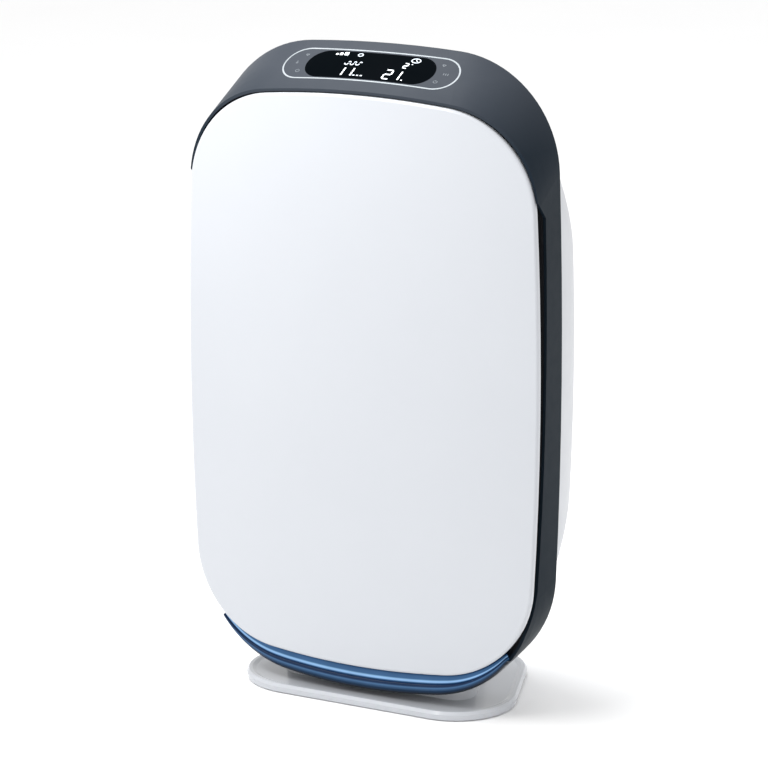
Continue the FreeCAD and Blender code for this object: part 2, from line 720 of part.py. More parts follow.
def prefilter_frame():
    y = (FRAME_Y + GAP, FRAME_Y + GAP + PREFILTER_DEPTH)
    rim = MESH_GRIP + 6
    body = filter_block(y).cut(filter_block(past(y), rim, 4))
    half = BAY_WIDTH / 2 - FILTER_PLAY - rim / 2
    tall = BAY_HEIGHT / 2 - FILTER_PLAY - rim / 2
    bars = [box((x - BAR / 2, x + BAR / 2), y, (MID_Z - tall, MID_Z + tall)) for x in (-48, 48)]
    for z in (MID_Z - 110, MID_Z, MID_Z + 110):
        bars.append(box((-half, half), y, (z - BAR / 2, z + BAR / 2)))
    return joined([body] + bars).cut(prefilter_mesh())


def prefilter_mesh():
    y = FRAME_Y + GAP + (PREFILTER_DEPTH - MESH) / 2
    return filter_block((y, y + MESH), 6, 4)


def filter_frame():
    y = (FILTER_Y, FILTER_BACK_Y - SEAL)
    body = filter_block(y).cut(filter_block(past(y), FILTER_RIM, 3))
    half = BAY_WIDTH / 2 - FILTER_PLAY - FILTER_RIM / 2
    cross = []
    for z in (MID_Z - 75, MID_Z + 75):
        cross.append(box((-half, half), (y[0], y[0] + 1.5), (z - 3, z + 3)))
    return joined([body] + cross)


def hepa_pleats():
    """Pleated paper: one folded sheet, drawn as a zigzag band and pulled up the filter."""
    half = BAY_WIDTH / 2 - FILTER_PLAY - FILTER_RIM - 0.5
    tall = BAY_HEIGHT / 2 - FILTER_PLAY - FILTER_RIM - 1.0
    front, back = FILTER_Y + 13.0, FILTER_BACK_Y - 1.0
    pitch = 2 * half / PLEATS
    fold = []
    for i in range(PLEATS + 1):
        fold.append((-half + i * pitch, front if i % 2 else back - PAPER))
    ahead = [Vector(x, y, MID_Z - tall) for x, y in fold]
    behind = [Vector(x, y + PAPER, MID_Z - tall) for x, y in reversed(fold)]
    face = Part.Face(Part.makePolygon(ahead + behind + [ahead[0]]))
    return face.extrude(Vector(0, 0, 2 * tall))


def carbon_pad():
    return filter_block(CARBON_Y, FILTER_RIM, 3)


def filter_seal():
    """Foam strip on the back of the filter's rim, squeezed against the bay's ledges."""
    y = (FILTER_BACK_Y - SEAL, FILTER_BACK_Y)
    return filter_block(y, 0.5, BAY_CORNER - 2).cut(filter_block(past(y), FILTER_RIM - 0.5, 3))


def pull_tabs():
    """Ribbons on the filter's front, fixed at its lower rim, to pull it out by."""
    low = MID_Z - 224
    tabs = []
    for x in (-TAB_X, TAB_X):
        tabs.append(box((x - TAB_WIDTH / 2, x + TAB_WIDTH / 2), (FILTER_Y - 0.45, FILTER_Y - 0.05),
                        (low, low + TAB_LENGTH)))
    return group(tabs)


# ---- Fan -------------------------------------------------------------------------------
def scroll_points(extra):
    """Spiral from the cut-off on the left round the bottom to the right of the outlet."""
    points = []
    steps = 24
    for i in range(steps + 1):
        turn = i / steps
        angle = math.radians(180 + 180 * turn)
        radius = SCROLL_R[0] + (SCROLL_R[1] - SCROLL_R[0]) * turn + extra
        points.append((radius * math.cos(angle), FAN_Z + radius * math.sin(angle)))
    return points


def scroll_face(extra, y):
    """Closed section of the scroll and its upward duct."""
    spiral = scroll_points(extra)
    top = MID_Z + DUCT_TOP + extra
    duct = DUCT_HALF + extra
    curve = Part.BSplineCurve()
    curve.interpolate([Vector(x, y, z) for x, z in spiral])
    start = Vector(spiral[0][0], y, spiral[0][1])
    end = Vector(spiral[-1][0], y, spiral[-1][1])
    shoulder = FAN_Z + 80
    rest = [end, Vector(end.x, y, FAN_Z + 20), Vector(duct, y, shoulder + 30), Vector(duct, y, top),
            Vector(-duct, y, top), Vector(-duct, y, shoulder + 30), Vector(start.x, y, FAN_Z + 20), start]
    edges = [curve.toShape()]
    for a, b in zip(rest, rest[1:]):
        edges.append(Part.LineSegment(a, b).toShape())
    return Part.Face(Part.Wire(edges))


def fan_scroll():
    y0, y1 = SCROLL_Y
    outer = scroll_face(0, y0).extrude(Vector(0, y1 - y0, 0))
    inner = scroll_face(-SCROLL_WALL, y0 - CUT).extrude(Vector(0, y1 - y0 + CUT - SCROLL_WALL, 0))
    duct_z = (MID_Z + DUCT_TOP - 2 - GRILLE_HEIGHT, MID_Z + DUCT_TOP)
    collar = box((-DUCT_HALF, DUCT_HALF), (y1 - 1, REAR_Y - 4.4), duct_z)
    mouth = box((-DUCT_HALF + SCROLL_WALL, DUCT_HALF - SCROLL_WALL), (y1 - 9, REAR_Y),
                (duct_z[0] + SCROLL_WALL, duct_z[1] - SCROLL_WALL))
    body = outer.cut(inner).fuse(collar).cut(mouth)
    back_y = past((y1 - SCROLL_WALL, y1))
    body = body.cut(rod(20, 0, FAN_Z, back_y))
    for x, z in motor_post_places():
        body = body.cut(rod(GROMMET_NECK, x, z, back_y))
    return body.removeSplitter()


def impeller():
    """Forward-curved blades between a front ring and a back plate with a raised hub."""
    y0, y1 = IMPELLER_Y
    ring = tube(IMPELLER_R, IMPELLER_R - 6, 0, FAN_Z, (y0, y0 + PLATE))
    plate = rod(IMPELLER_R, 0, FAN_Z, (y1 - PLATE, y1))
    rise = HUB_DEPTH - PLATE
    cone = Part.makeCone(58, HUB_R + 4, rise, Vector(0, y1 - PLATE, FAN_Z), Vector(0, -1, 0))
    hollow = Part.makeCone(54, HUB_R, rise, Vector(0, y1 + CUT, FAN_Z), Vector(0, -1, 0))
    hub = rod(HUB_R, 0, FAN_Z, (y1 - HUB_DEPTH, y1 - 4))
    solids = [ring, plate, cone.cut(hollow), hub]
    for i in range(BLADES):
        solids.append(impeller_blade(360.0 * i / BLADES))
    body = joined(solids)
    return body.cut(rod(SHAFT_R, 0, FAN_Z, (y0 - 10, y1 + 10))).removeSplitter()


def impeller_blade(angle):
    inner_r = IMPELLER_R - BLADE_CHORD
    start = Vector(inner_r, IMPELLER_Y[0] + 1, FAN_Z)
    middle = Vector(IMPELLER_R - 0.55 * BLADE_CHORD, IMPELLER_Y[0] + 1, FAN_Z + 3.4)
    end = Vector(IMPELLER_R - 0.8, IMPELLER_Y[0] + 1, FAN_Z + 10.5)
    shift = Vector(0.2, 0, -1.5)
    arc_a = Part.Arc(start, middle, end).toShape()
    arc_b = Part.Arc(end + shift, middle + shift, start + shift).toShape()
    edges = [arc_a, Part.LineSegment(end, end + shift).toShape(), arc_b,
             Part.LineSegment(start + shift, start).toShape()]
    blade = Part.Face(Part.Wire(edges)).extrude(Vector(0, IMPELLER_Y[1] - IMPELLER_Y[0] - 2, 0))
    blade.rotate(Vector(0, 0, FAN_Z), Vector(0, 1, 0), angle)
    return blade


def motor_shaft():
    return rod(SHAFT_R, 0, FAN_Z, (IMPELLER_Y[1] - HUB_DEPTH - 12, MOTOR_Y[1] - 2))


def hub_nut():
    """Hexagonal nut on the shaft's end, hard against the impeller's hub."""
    radius, thick = 7.5, 6.0
    y1 = IMPELLER_Y[1] - HUB_DEPTH
    corners = []
    for i in range(7):
        angle = math.radians(60 * i)
        corners.append(Vector(radius * math.cos(angle), y1 - thick, FAN_Z + radius * math.sin(angle)))
    hexagon = Part.Face(Part.makePolygon(corners)).extrude(Vector(0, thick, 0))
    return hexagon.cut(rod(SHAFT_R, 0, FAN_Z, past((y1 - thick, y1))))


def motor_post_places():
    places = []
    for i in range(MOTOR_POSTS):
        angle = math.radians(90 + 360 * i / MOTOR_POSTS)
        places.append((MOTOR_POST_R * math.cos(angle), FAN_Z + MOTOR_POST_R * math.sin(angle)))
    return places


def motor_can():
    y0, y1 = MOTOR_Y
    can = rod(MOTOR_R, 0, FAN_Z, (y0, y1))
    edges = [e for e in can.Edges if e.Length > 2 * math.pi * MOTOR_R * 0.9 and e.BoundBox.YMin > y1 - 1]
    can = can.makeFillet(5, edges)
    nose = rod(BEARING_R + 3, 0, FAN_Z, (y0 - 4, y0))
    body = can.fuse(nose)
    body = body.cut(rod(MOTOR_R - MOTOR_WALL, 0, FAN_Z, (y0 + 4, y1 - 6)))
    posts = [tube(BEARING_R + 3, BEARING_R, 0, FAN_Z, (y0 - 4, y0 + 6)),
             tube(BEARING_R + 3, BEARING_R, 0, FAN_Z, (y1 - 9, y1 - 4))]
    body = joined([body] + posts)
    body = body.cut(rod(SHAFT_R + 1, 0, FAN_Z, (y0 - 5, y1 - 1.5)))
    for y in bearing_places():
        body = body.cut(rod(BEARING_R, 0, FAN_Z, (y, y + BEARING_WIDTH)))
    return body


def bearing_places():
    return (MOTOR_Y[0] - 3.0, MOTOR_Y[1] - 9.0)


def motor_bearings():
    return group(tube(BEARING_R, SHAFT_R + BEARING_PLAY, 0, FAN_Z, (y, y + BEARING_WIDTH))
                 for y in bearing_places())


def motor_stator():
    """Wound core fixed inside the can, clear of the turning rotor."""
    return tube(MOTOR_R - MOTOR_WALL, ROTOR_R + 1, 0, FAN_Z, (MOTOR_Y[0] + 7, MOTOR_Y[1] - 10))


def motor_rotor():
    return tube(ROTOR_R, SHAFT_R, 0, FAN_Z, (MOTOR_Y[0] + 8, MOTOR_Y[1] - 11))


def motor_bracket():
    """Three-armed plate that carries the can on the rubber grommets."""
    y = (MOTOR_Y[0] - BRACKET, MOTOR_Y[0])
    arms = [rod(34, 0, FAN_Z, y)]
    for i in range(MOTOR_POSTS):
        arm = box((0, MOTOR_POST_R), y, (FAN_Z - ARM_HALF, FAN_Z + ARM_HALF))
        arm = arm.fuse(rod(ARM_HALF, MOTOR_POST_R, FAN_Z, y))
        arm.rotate(Vector(0, 0, FAN_Z), Vector(0, 1, 0), -90 - 360 * i / MOTOR_POSTS)
        arms.append(arm)
    plate = joined(arms).cut(rod(BEARING_R + 3, 0, FAN_Z, past(y)))
    for x, z in motor_post_places():
        plate = plate.cut(rod(MOTOR_SCREW_R + 0.1, x, z, past(y)))
    return plate.removeSplitter()


def motor_grommets():
    """Rubber rings between the scroll's back and the bracket's arms."""
    y1 = SCROLL_Y[1]
    bodies = []
    for x, z in motor_post_places():
        neck = rod(GROMMET_NECK, x, z, (y1 - SCROLL_WALL, y1))
        collar = rod(GROMMET_R, x, z, (y1, MOTOR_Y[0] - BRACKET))
        bore = rod(MOTOR_SCREW_R + 0.1, x, z, past((y1 - SCROLL_WALL, MOTOR_Y[0])))
        bodies.append(neck.fuse(collar).cut(bore))
    return group(bodies)


def motor_screws():
    bodies = []
    for x, z in motor_post_places():
        head = rod(4.5, x, z, (MOTOR_Y[0], MOTOR_Y[0] + 2.5))
        shank = rod(MOTOR_SCREW_R, x, z, (SCROLL_Y[1] - SCROLL_WALL, MOTOR_Y[0]))
        bodies.append(head.fuse(shank))
    return group(bodies)


# ---- Rear cover and what it carries ----------------------------------------------------
def rear_cover():
    outer = dome(0)
    inner = dome(COVER_WALL, (RING_BACK_Y - 0.5, REAR_Y - COVER_WALL))
    solids = [outer.cut(inner)]
    for x, z in cover_screw_places():
        solids.append(rod(WELL_R + WELL_WALL, x, z, (POST_END_Y, REAR_Y)).common(outer))
    for z in lug_heights():
        lug = box((DOOR_SIDE_X - 1, HINGE_X + 3.5), (DOOR_Y[0] - 4.2, DOOR_Y[0] + 3.2), z)
        solids.append(lug.common(outer))
    body = joined(solids)
    for x, z in cover_screw_places():
        body = body.cut(rod(WELL_R, x, z, (POST_END_Y + WELL_FLOOR, REAR_Y + CUT)))
        body = body.cut(rod(SCREW_HOLE, x, z, past((POST_END_Y, POST_END_Y + WELL_FLOOR))))
    body = body.cut(grille_opening(0, (REAR_Y - 20, REAR_Y + CUT)))
    body = body.cut(cup_outline(FIT, (REAR_Y - CUP_DEPTH - 4, REAR_Y + CUT)))
    body = body.cut(socket_block(FIT, (REAR_Y - 9, REAR_Y + CUT)))
    body = body.cut(door_opening())
    body = body.cut(hinge_pin())
    return biggest(body.removeSplitter())


def lug_heights():
    low = DOOR_Z - DOOR_HALF
    high = DOOR_Z + DOOR_HALF
    return ((low - LUG, low - GAP), (high + GAP, high + LUG))


def grille_opening(inset, y):
    half = GRILLE_WIDTH / 2 - inset
    tall = GRILLE_HEIGHT / 2 - inset
    return rounded_box((-half, half), y, (GRILLE_Z - tall, GRILLE_Z + tall), GRILLE_CORNER - inset)


def outlet_grille():
    """Slatted grille; its slats slope so that the air leaves upward."""
    y = (REAR_Y - 4.0, REAR_Y - FIT)
    frame = grille_opening(FIT, y).cut(grille_opening(5, past(y)))
    bars = []
    pitch = (GRILLE_HEIGHT - 8) / SLATS
    for i in range(1, SLATS):
        z = GRILLE_Z - GRILLE_HEIGHT / 2 + 4 + i * pitch
        profile = [Vector(-FAR, y[0], z - 2.6), Vector(-FAR, y[1], z + 0.6), Vector(-FAR, y[1], z + 2.2),
                   Vector(-FAR, y[0], z - 1.0), Vector(-FAR, y[0], z - 2.6)]
        bars.append(Part.Face(Part.makePolygon(profile)).extrude(Vector(2 * FAR, 0, 0)))
    inside = grille_opening(3, y)
    slats = [bar.common(inside) for bar in bars]
    z = (GRILLE_Z - GRILLE_HEIGHT / 2, GRILLE_Z + GRILLE_HEIGHT / 2)
    stiles = [box((x - 1.5, x + 1.5), y, z).common(inside) for x in STILES]
    return joined([frame] + stiles + slats)


def cup_outline(grow, y):
    return rounded_bar(CUP_WIDTH / 2 + grow, CUP_HEIGHT / 2 + grow, CUP_Z, y)


def handle_cup():
    """Recessed grip: a deep oval cup whose rim follows the cover's slope."""
    y = (REAR_Y - CUP_DEPTH - COVER_WALL, REAR_Y - FIT)
    cup = cup_outline(0, y).common(dome(0))
    return cup.cut(cup_outline(-COVER_WALL, (REAR_Y - CUP_DEPTH, REAR_Y + CUT)))


def cover_screws():
    seat = POST_END_Y + WELL_FLOOR
    bodies = []
    for x, z in cover_screw_places():
        head = rod(HEAD_R, x, z, (seat, seat + 2.6))
        shank = rod(SCREW_R, x, z, (POST_END_Y - 12, seat))
        bodies.append(head.fuse(shank))
    return group(bodies)


def door_side_x():
    """Outermost x of the rear cover at the door's hinge."""
    slab = box((-FAR, 0), (DOOR_Y[0] - FIT, DOOR_Y[0] + FIT), (DOOR_Z - FIT, DOOR_Z + FIT))
    return dome(0).common(slab).BoundBox.XMin


DOOR_SIDE_X = door_side_x()
HINGE_X = DOOR_SIDE_X + KNUCKLE_R


def door_opening():
    y = (DOOR_Y[0], DOOR_Y[1] + GAP)
    z = (DOOR_Z - DOOR_HALF - GAP, DOOR_Z + DOOR_HALF + GAP)
    slot = box((-FAR, -150), y, z)
    return slot.fuse(post(KNUCKLE_R + GAP, HINGE_X, DOOR_Y[0], z))


def sensor_door():
    """Flap cut from the cover's own curve, with a hinge knuckle along its front edge."""
    z = (DOOR_Z - DOOR_HALF, DOOR_Z + DOOR_HALF)
    skin = dome(0).cut(dome(COVER_WALL, (RING_BACK_Y - 0.5, REAR_Y - COVER_WALL)))
    flap = skin.common(box((-FAR, -150), DOOR_Y, z))
    body = flap.fuse(post(KNUCKLE_R, HINGE_X, DOOR_Y[0], z))
    for i in range(VENTS):
        low = DOOR_Z + (i - VENTS / 2) * VENT_PITCH
        body = body.cut(box((-FAR, -150), (DOOR_Y[0] + 12, DOOR_Y[1] - 8), (low, low + VENT)))
    bore = post(PIN_R + PIN_PLAY, HINGE_X, DOOR_Y[0], past(z))
    return biggest(body.cut(bore).removeSplitter())


def hinge_pin():
    reach = DOOR_HALF + LUG - 1
    return post(PIN_R, HINGE_X, DOOR_Y[0], (DOOR_Z - reach, DOOR_Z + reach))


def particle_sensor():
    x = (HINGE_X + SENSOR_GAP, HINGE_X + SENSOR_GAP + SENSOR_WIDTH)
    body = rounded_box(x, (DOOR_Y[0] + 6, DOOR_Y[1] - 2), (DOOR_Z - 18, DOOR_Z + 18), 2)
    eye = Part.makeCylinder(5, 4, Vector(x[0] - 1, 24, DOOR_Z), Vector(1, 0, 0))
    return body.cut(eye)


# ---- Mains inlet and electronics -------------------------------------------------------
def socket_block(grow, y):
    return rounded_box((INLET_X - 15 - grow, INLET_X + 15 + grow), y,
                       (INLET_Z - 11 - grow, INLET_Z + 11 + grow), 3 + grow)


def figure_eight(y):
    """Opening of a two-pole inlet: two overlapping rounds."""
    offset = SOCKET_HALF - SOCKET_R
    left = rod(SOCKET_R, INLET_X - offset, INLET_Z, y)
    right = rod(SOCKET_R, INLET_X + offset, INLET_Z, y)
    waist = SOCKET_R - 0.9
    bridge = box((INLET_X - offset, INLET_X + offset), y, (INLET_Z - waist, INLET_Z + waist))
    return left.fuse(right).fuse(bridge)


def power_inlet():
    y1 = REAR_Y - FIT
    flange = socket_block(0, (y1 - 3, y1))
    body = rounded_box((INLET_X - 12, INLET_X + 12), (y1 - 22, y1 - 3), (INLET_Z - 8, INLET_Z + 8), 3)
    socket = flange.fuse(body).cut(figure_eight((y1 - SOCKET_DEPTH, y1 + CUT)))
    for x in inlet_pin_places():
        socket = socket.cut(rod(PIN, x, INLET_Z, (y1 - 30, y1)))
    return socket.removeSplitter()


def inlet_pin_places():
    offset = SOCKET_HALF - SOCKET_R
    return (INLET_X - offset, INLET_X + offset)


def inlet_pins():
    y1 = REAR_Y - FIT
    return group(rod(PIN, x, INLET_Z, (y1 - 28, y1 - 6)) for x in inlet_pin_places())


def main_board():
    half, tall = BOARD_HALF
    return box((-half, half), (BOARD_Y, BOARD_Y + BOARD), (BOARD_Z - tall, BOARD_Z + tall))


def board_parts():
    """Transformer, capacitors, heat sink and plugs on the main board."""
    back = BOARD_Y + BOARD
    blocks = [box((-64, -36), (back, back + 22), (BOARD_Z - 14, BOARD_Z + 14)),
              rod(8, -20, BOARD_Z + 8, (back, back + 24)),
              rod(6, -20, BOARD_Z - 12, (back, back + 16)),
              box((-4, 2), (back, back + 20), (BOARD_Z - 18, BOARD_Z + 18))]
    for i in range(3):
        x = 18 + i * 18
        blocks.append(box((x - 6, x + 6), (back, back + 8), (BOARD_Z + 10, BOARD_Z + 18)))
    blocks.append(box((22, 50), (back, back + 3), (BOARD_Z - 16, BOARD_Z)))
    return group(blocks)


def board_posts():
    """Standoffs between the inner frame's flange and the main board."""
    half, tall = BOARD_POSTS
    y = (FRAME_Y + FLANGE, BOARD_Y)
    return group(rod(3, x, z, y) for x in (-half, half) for z in (BOARD_Z - tall, BOARD_Z + tall))


# ---- Foot ------------------------------------------------------------------------------
def foot_wire(z, inset):
    """Rounded trapezoid, wide at the front and drawn in towards the back."""
    lean = math.atan2(FOOT_TAPER, FOOT_DEPTH)
    front = FOOT_HALF - inset / math.cos(lean) - inset * math.tan(lean)
    back = FOOT_HALF - FOOT_TAPER - inset / math.cos(lean) + inset * math.tan(lean)
    y0 = FOOT_FRONT_Y + inset
    y1 = FOOT_FRONT_Y + FOOT_DEPTH - inset
    corners = [(-front, y0), (front, y0), (back, y1), (-back, y1)]
    edges = []
    ends = []
    for i in range(4):
        before, here, after = corners[i - 1], corners[i], corners[(i + 1) % 4]
        ends.append(rounded_corner(before, here, after, FOOT_CORNER - inset))
    for i in range(4):
        entry, middle, leave = [Vector(p[0], p[1], z) for p in ends[i]]
        following = Vector(ends[(i + 1) % 4][0][0], ends[(i + 1) % 4][0][1], z)
        edges.append(Part.Arc(entry, middle, leave).toShape())
        edges.append(Part.LineSegment(leave, following).toShape())
    return Part.Wire(edges)


def rounded_corner(before, here, after, radius):
    """Entry, middle and exit points of the arc that rounds a corner."""
    ux, uy = unit(before[0] - here[0], before[1] - here[1])
    vx, vy = unit(after[0] - here[0], after[1] - here[1])
    half_angle = math.acos(ux * vx + uy * vy) / 2
    run = radius / math.tan(half_angle)
    mx, my = unit(ux + vx, uy + vy)
    reach = radius / math.sin(half_angle) - radius
    return ((here[0] + ux * run, here[1] + uy * run), (here[0] + mx * reach, here[1] + my * reach),
            (here[0] + vx * run, here[1] + vy * run))


def foot_solid(z, insets):
    wires = [foot_wire(z[0], insets[0]), foot_wire(z[1], insets[1])]
    return Part.makeLoft(wires, True, True)


def foot():
    plate = foot_solid((FOOT_BOTTOM, FOOT_TOP - 3), (0.8, 0))
    crown = foot_solid((FOOT_TOP - 3, FOOT_TOP), (0, 2.2))
    dish = foot_solid((FOOT_TOP - 1.6, FOOT_TOP + 0.4), (9.5, 4.6))
    saddle = foot_solid((FOOT_TOP - 3, SADDLE_TOP), (40, 46)).cut(saddle_clearance())
    body = joined([plate, crown]).cut(dish)
    body = joined([body, saddle])
    for x, y in RUBBER_PLACES:
        body = body.cut(post(RUBBER_R, x, y, (0, RUBBER)))
    for x, y in FOOT_SCREWS:
        body = body.cut(post(SCREW_HOLE, x, y, past((0, SADDLE_TOP))))
        body = body.cut(post(HEAD_R + FIT, x, y, (0, SCREW_SEAT)))
    return biggest(body.removeSplitter())


def saddle_clearance():
    """The body's underside, grown a little, that the foot's saddle follows."""
    ring = ring_body(-GAP, (LIP_BACK_Y - 27, RING_BACK_Y))
    return ring.fuse(dome(-GAP, (RING_BACK_Y, REAR_Y)))


def rubber_feet():
    return group(post(RUBBER_R, x, y, (0, RUBBER)) for x, y in RUBBER_PLACES)


def foot_screws():
    """Screws up through the foot into the ring's floor."""
    bodies = []
    for x, y in FOOT_SCREWS:
        head = post(HEAD_R, x, y, (SCREW_SEAT - 2, SCREW_SEAT))
        bodies.append(head.fuse(post(SCREW_R, x, y, (SCREW_SEAT, SCREW_SEAT + 18))))
    return group(bodies)


NODES = [foot, rubber_feet, foot_screws, main_housing, lower_bezel, light_guide, led_strip,
         control_outline, display_window, control_board, display_module, touch_pads,
         front_panel, panel_backing, panel_magnets, strike_plates, inner_frame, frame_screws,
         prefilter_frame, prefilter_mesh, filter_frame, hepa_pleats, carbon_pad, filter_seal,
         pull_tabs, uv_lamps, uv_lamp_holders, inlet_grille, fan_inlet_ring, fan_scroll,
         impeller, hub_nut, motor_shaft, motor_rotor, motor_stator, motor_can, motor_bearings,
         motor_bracket, motor_grommets, motor_screws, rear_cover, cover_screws, outlet_grille,
         handle_cup, sensor_door, hinge_pin, particle_sensor, power_inlet, inlet_pins,
         main_board, board_parts, board_posts]


def main():
    os.makedirs("parts", exist_ok=True)
    for make in NODES:
        shape = make()
        shape.exportStep(os.path.join("parts", make.__name__ + ".step"))
        low = shape.BoundBox
        print("%-18s solids %2d  volume %9.0f  valid %s  x %.1f %.1f  y %.1f %.1f  z %.1f %.1f"
              % (make.__name__, len(shape.Solids), shape.Volume, shape.isValid(),
                 low.XMin, low.XMax, low.YMin, low.YMax, low.ZMin, low.ZMax), flush=True)


main()
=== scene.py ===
import json
import math
import random

import bpy
from mathutils import Matrix, Vector
from mathutils.bvhtree import BVHTree


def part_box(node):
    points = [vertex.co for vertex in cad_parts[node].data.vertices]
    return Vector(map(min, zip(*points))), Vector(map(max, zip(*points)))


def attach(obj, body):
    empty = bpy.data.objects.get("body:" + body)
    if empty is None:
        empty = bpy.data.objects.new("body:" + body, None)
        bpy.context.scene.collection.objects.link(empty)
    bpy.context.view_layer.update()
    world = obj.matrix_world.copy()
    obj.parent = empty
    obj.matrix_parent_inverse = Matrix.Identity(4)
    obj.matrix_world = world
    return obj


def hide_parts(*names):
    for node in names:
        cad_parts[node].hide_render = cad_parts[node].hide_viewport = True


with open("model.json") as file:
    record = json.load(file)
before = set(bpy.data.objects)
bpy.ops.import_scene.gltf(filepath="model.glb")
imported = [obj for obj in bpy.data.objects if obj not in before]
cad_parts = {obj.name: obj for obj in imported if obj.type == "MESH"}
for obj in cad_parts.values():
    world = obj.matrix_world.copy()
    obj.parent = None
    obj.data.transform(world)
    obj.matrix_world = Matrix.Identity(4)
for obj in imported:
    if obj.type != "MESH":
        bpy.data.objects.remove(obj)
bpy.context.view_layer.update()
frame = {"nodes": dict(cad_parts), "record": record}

MM = 0.001

# ---- Camera ------------------------------------------------------------------------------
VIEW_AZIMUTH = math.radians(27.56)
VIEW_ELEVATION = math.radians(14.67)
VIEW_ROLL = math.radians(-0.15)
VIEW_DISTANCE = 3.2157
VIEW_SIDESTEP = 0.0226
LENS = 155.4
SENSOR = 36.0
AIM = Vector((0.0, -0.081, 0.3245))

# ---- Stage -------------------------------------------------------------------------------
FLOOR_SIZE = 60.0
WORLD_STRENGTH = 1.0
OVERHEAD_LIGHT = {"place": (-0.9, 0.3, 2.6), "aim": (0.0, 0.0, 0.5), "size": (1.5, 1.1), "power": 42.0,
                  "colour": (0.97, 0.985, 1.0)}
FILL_LIGHT = {"place": (-0.35, -0.62, 1.0), "aim": (0.0, -0.09, 0.60), "size": (0.7, 0.3), "power": 6.5,
              "colour": (1.0, 1.0, 1.0)}

# ---- Materials ---------------------------------------------------------------------------
FINE_NOISE = 9.0                     # scale of the roughness noise over that of the colour noise
SLATE_SHEEN_LOW, SLATE_SHEEN_HIGH = 0.50, 0.635  # heights between which a painted sheen makes the slate paint lighter
# slate colours from low to high; the lighter top is a painted sheen standing in for the overhead light's
# reflection
SLATE_SHEEN_STOPS = [(0.0, (0.009, 0.015, 0.022)), (0.55, (0.013, 0.020, 0.029)), (1.0, (0.044, 0.051, 0.063))]

# ---- Panel, as in the CAD ----------------------------------------------------------------
MID_Z = 324.5 * MM
EDGE_Y = -81.0 * MM                  # panel's outermost edge
RIM_STEP = 3.0 * MM                  # crown surface at the panel's sides lies this far in front
CROWN_HALF = 190.75 * MM
CROWN_RISE = 12.0 * MM
CROWN_RADIUS = (CROWN_HALF ** 2 + CROWN_RISE ** 2) / (2 * CROWN_RISE)
CROWN_FRONT = EDGE_Y - RIM_STEP - CROWN_RISE

# ---- Lit lip below the panel -------------------------------------------------------------
LIP_TOP = MID_Z - 222.0 * MM
LIP_BACK = -72.0 * MM
LIP_MARGIN = 0.5 * MM                # the lip ends where its outer edge comes this near its top
LIP_STATIONS = 160
LIP_LOW, LIP_HIGH = math.radians(-140.0), math.radians(-40.0)
LIP_FADE_START, LIP_FADE_END = 0.044, 0.082    # heights between which the light dies away
PARALLEL, SLACK = 1e-12, 1e-6        # limits of the crossing test in reach()

# Profiles run from the panel's edge (way 0) to the lip's outer edge (way 1).  Each point is (way,
# millimetres behind the crown or None for the lip's back, place in the colour stops).
GUIDE_EDGE = 0.47                    # way at which the light guide ends and the bumper begins
GUIDE_PROFILE = [(0.02, 9.0, 0.0), (0.06, 8.0, 0.12), (0.16, 7.6, 0.30), (0.28, 7.4, 0.50), (0.34, 7.0, 0.64),
                 (0.40, 6.4, 0.80), (0.44, 6.2, 0.92), (GUIDE_EDGE, 6.6, 1.0), (GUIDE_EDGE, None, 1.0),
                 (0.02, None, 0.0)]
# The light guide's own glow; its first stops paint the strip's dim light into the gap between the panel's
# edge and the guide.
GUIDE_STOPS = [(0.0, (0.002, 0.012, 0.045)), (0.15, (0.003, 0.020, 0.060)), (0.32, (0.035, 0.105, 0.24)),
               (0.54, (0.045, 0.13, 0.28)), (0.66, (0.31, 0.55, 0.88)), (0.78, (0.29, 0.52, 0.85)),
               (0.88, (0.03, 0.10, 0.24)), (1.0, (0.006, 0.035, 0.10))]
BUMPER_CORNER = 5.6                  # millimetres behind the crown beside the guide
BUMPER_NOSE = 4.4                    # and at the bumper's foremost line
BUMPER_FALL = 9.5                    # from there back to the outer edge
BUMPER_FALL_POWER = 1.1
BUMPER_NOSE_WAY = 0.10               # the foremost line's share of the bumper's width
BUMPER_NOSE_TONE = 0.05              # and its place in the colour stops
BUMPER_STEPS = 16
# Painted reflection of the lit strip on the black gloss bumper: emission colours across it, a bright line
# near its top fading to black.
BUMPER_REFLECTION_STOPS = [(0.0, (0.004, 0.022, 0.075)), (0.14, (0.006, 0.035, 0.11)), (0.24, (0.085, 0.21, 0.42)),
                (0.36, (0.040, 0.115, 0.25)), (0.55, (0.008, 0.032, 0.08)), (0.78, (0.001, 0.005, 0.012)),
                (1.0, (0.0, 0.0, 0.0))]

# ---- Printing on the sloping top ---------------------------------------------------------
SLOPE_START = Vector((0.0, -93.0, 613.5)) * MM
SLOPE_UP = Vector((0.0, 0.8674, 0.4977))
SLOPE_OUT = Vector((0.0, -0.4977, 0.8674))
CONTROL_MIDDLE = 38.0                # millimetres up the slope to the control area's middle
DISPLAY_LIFT, KEYS_LIFT = 0.03, 0.02           # millimetres the printing lies above the surface
PRINT_THICKNESS = 0.05 * MM
RAY_START = 20 * MM
NUDGES = (0.0, 0.013, -0.017, 0.031, -0.041)   # millimetres a ray moves where it meets only a gap
PATCH_STEPS = 4
RING_STEP, RING_FEWEST = 20, 6       # degrees of a ring's steps, and the least number of them

DIGIT_GAP = 0.3                      # between a digit's strokes, as a share of their width
DIGIT_LEAN = 0.06
SEGMENTS = {"1": "bc", "2": "abged"}

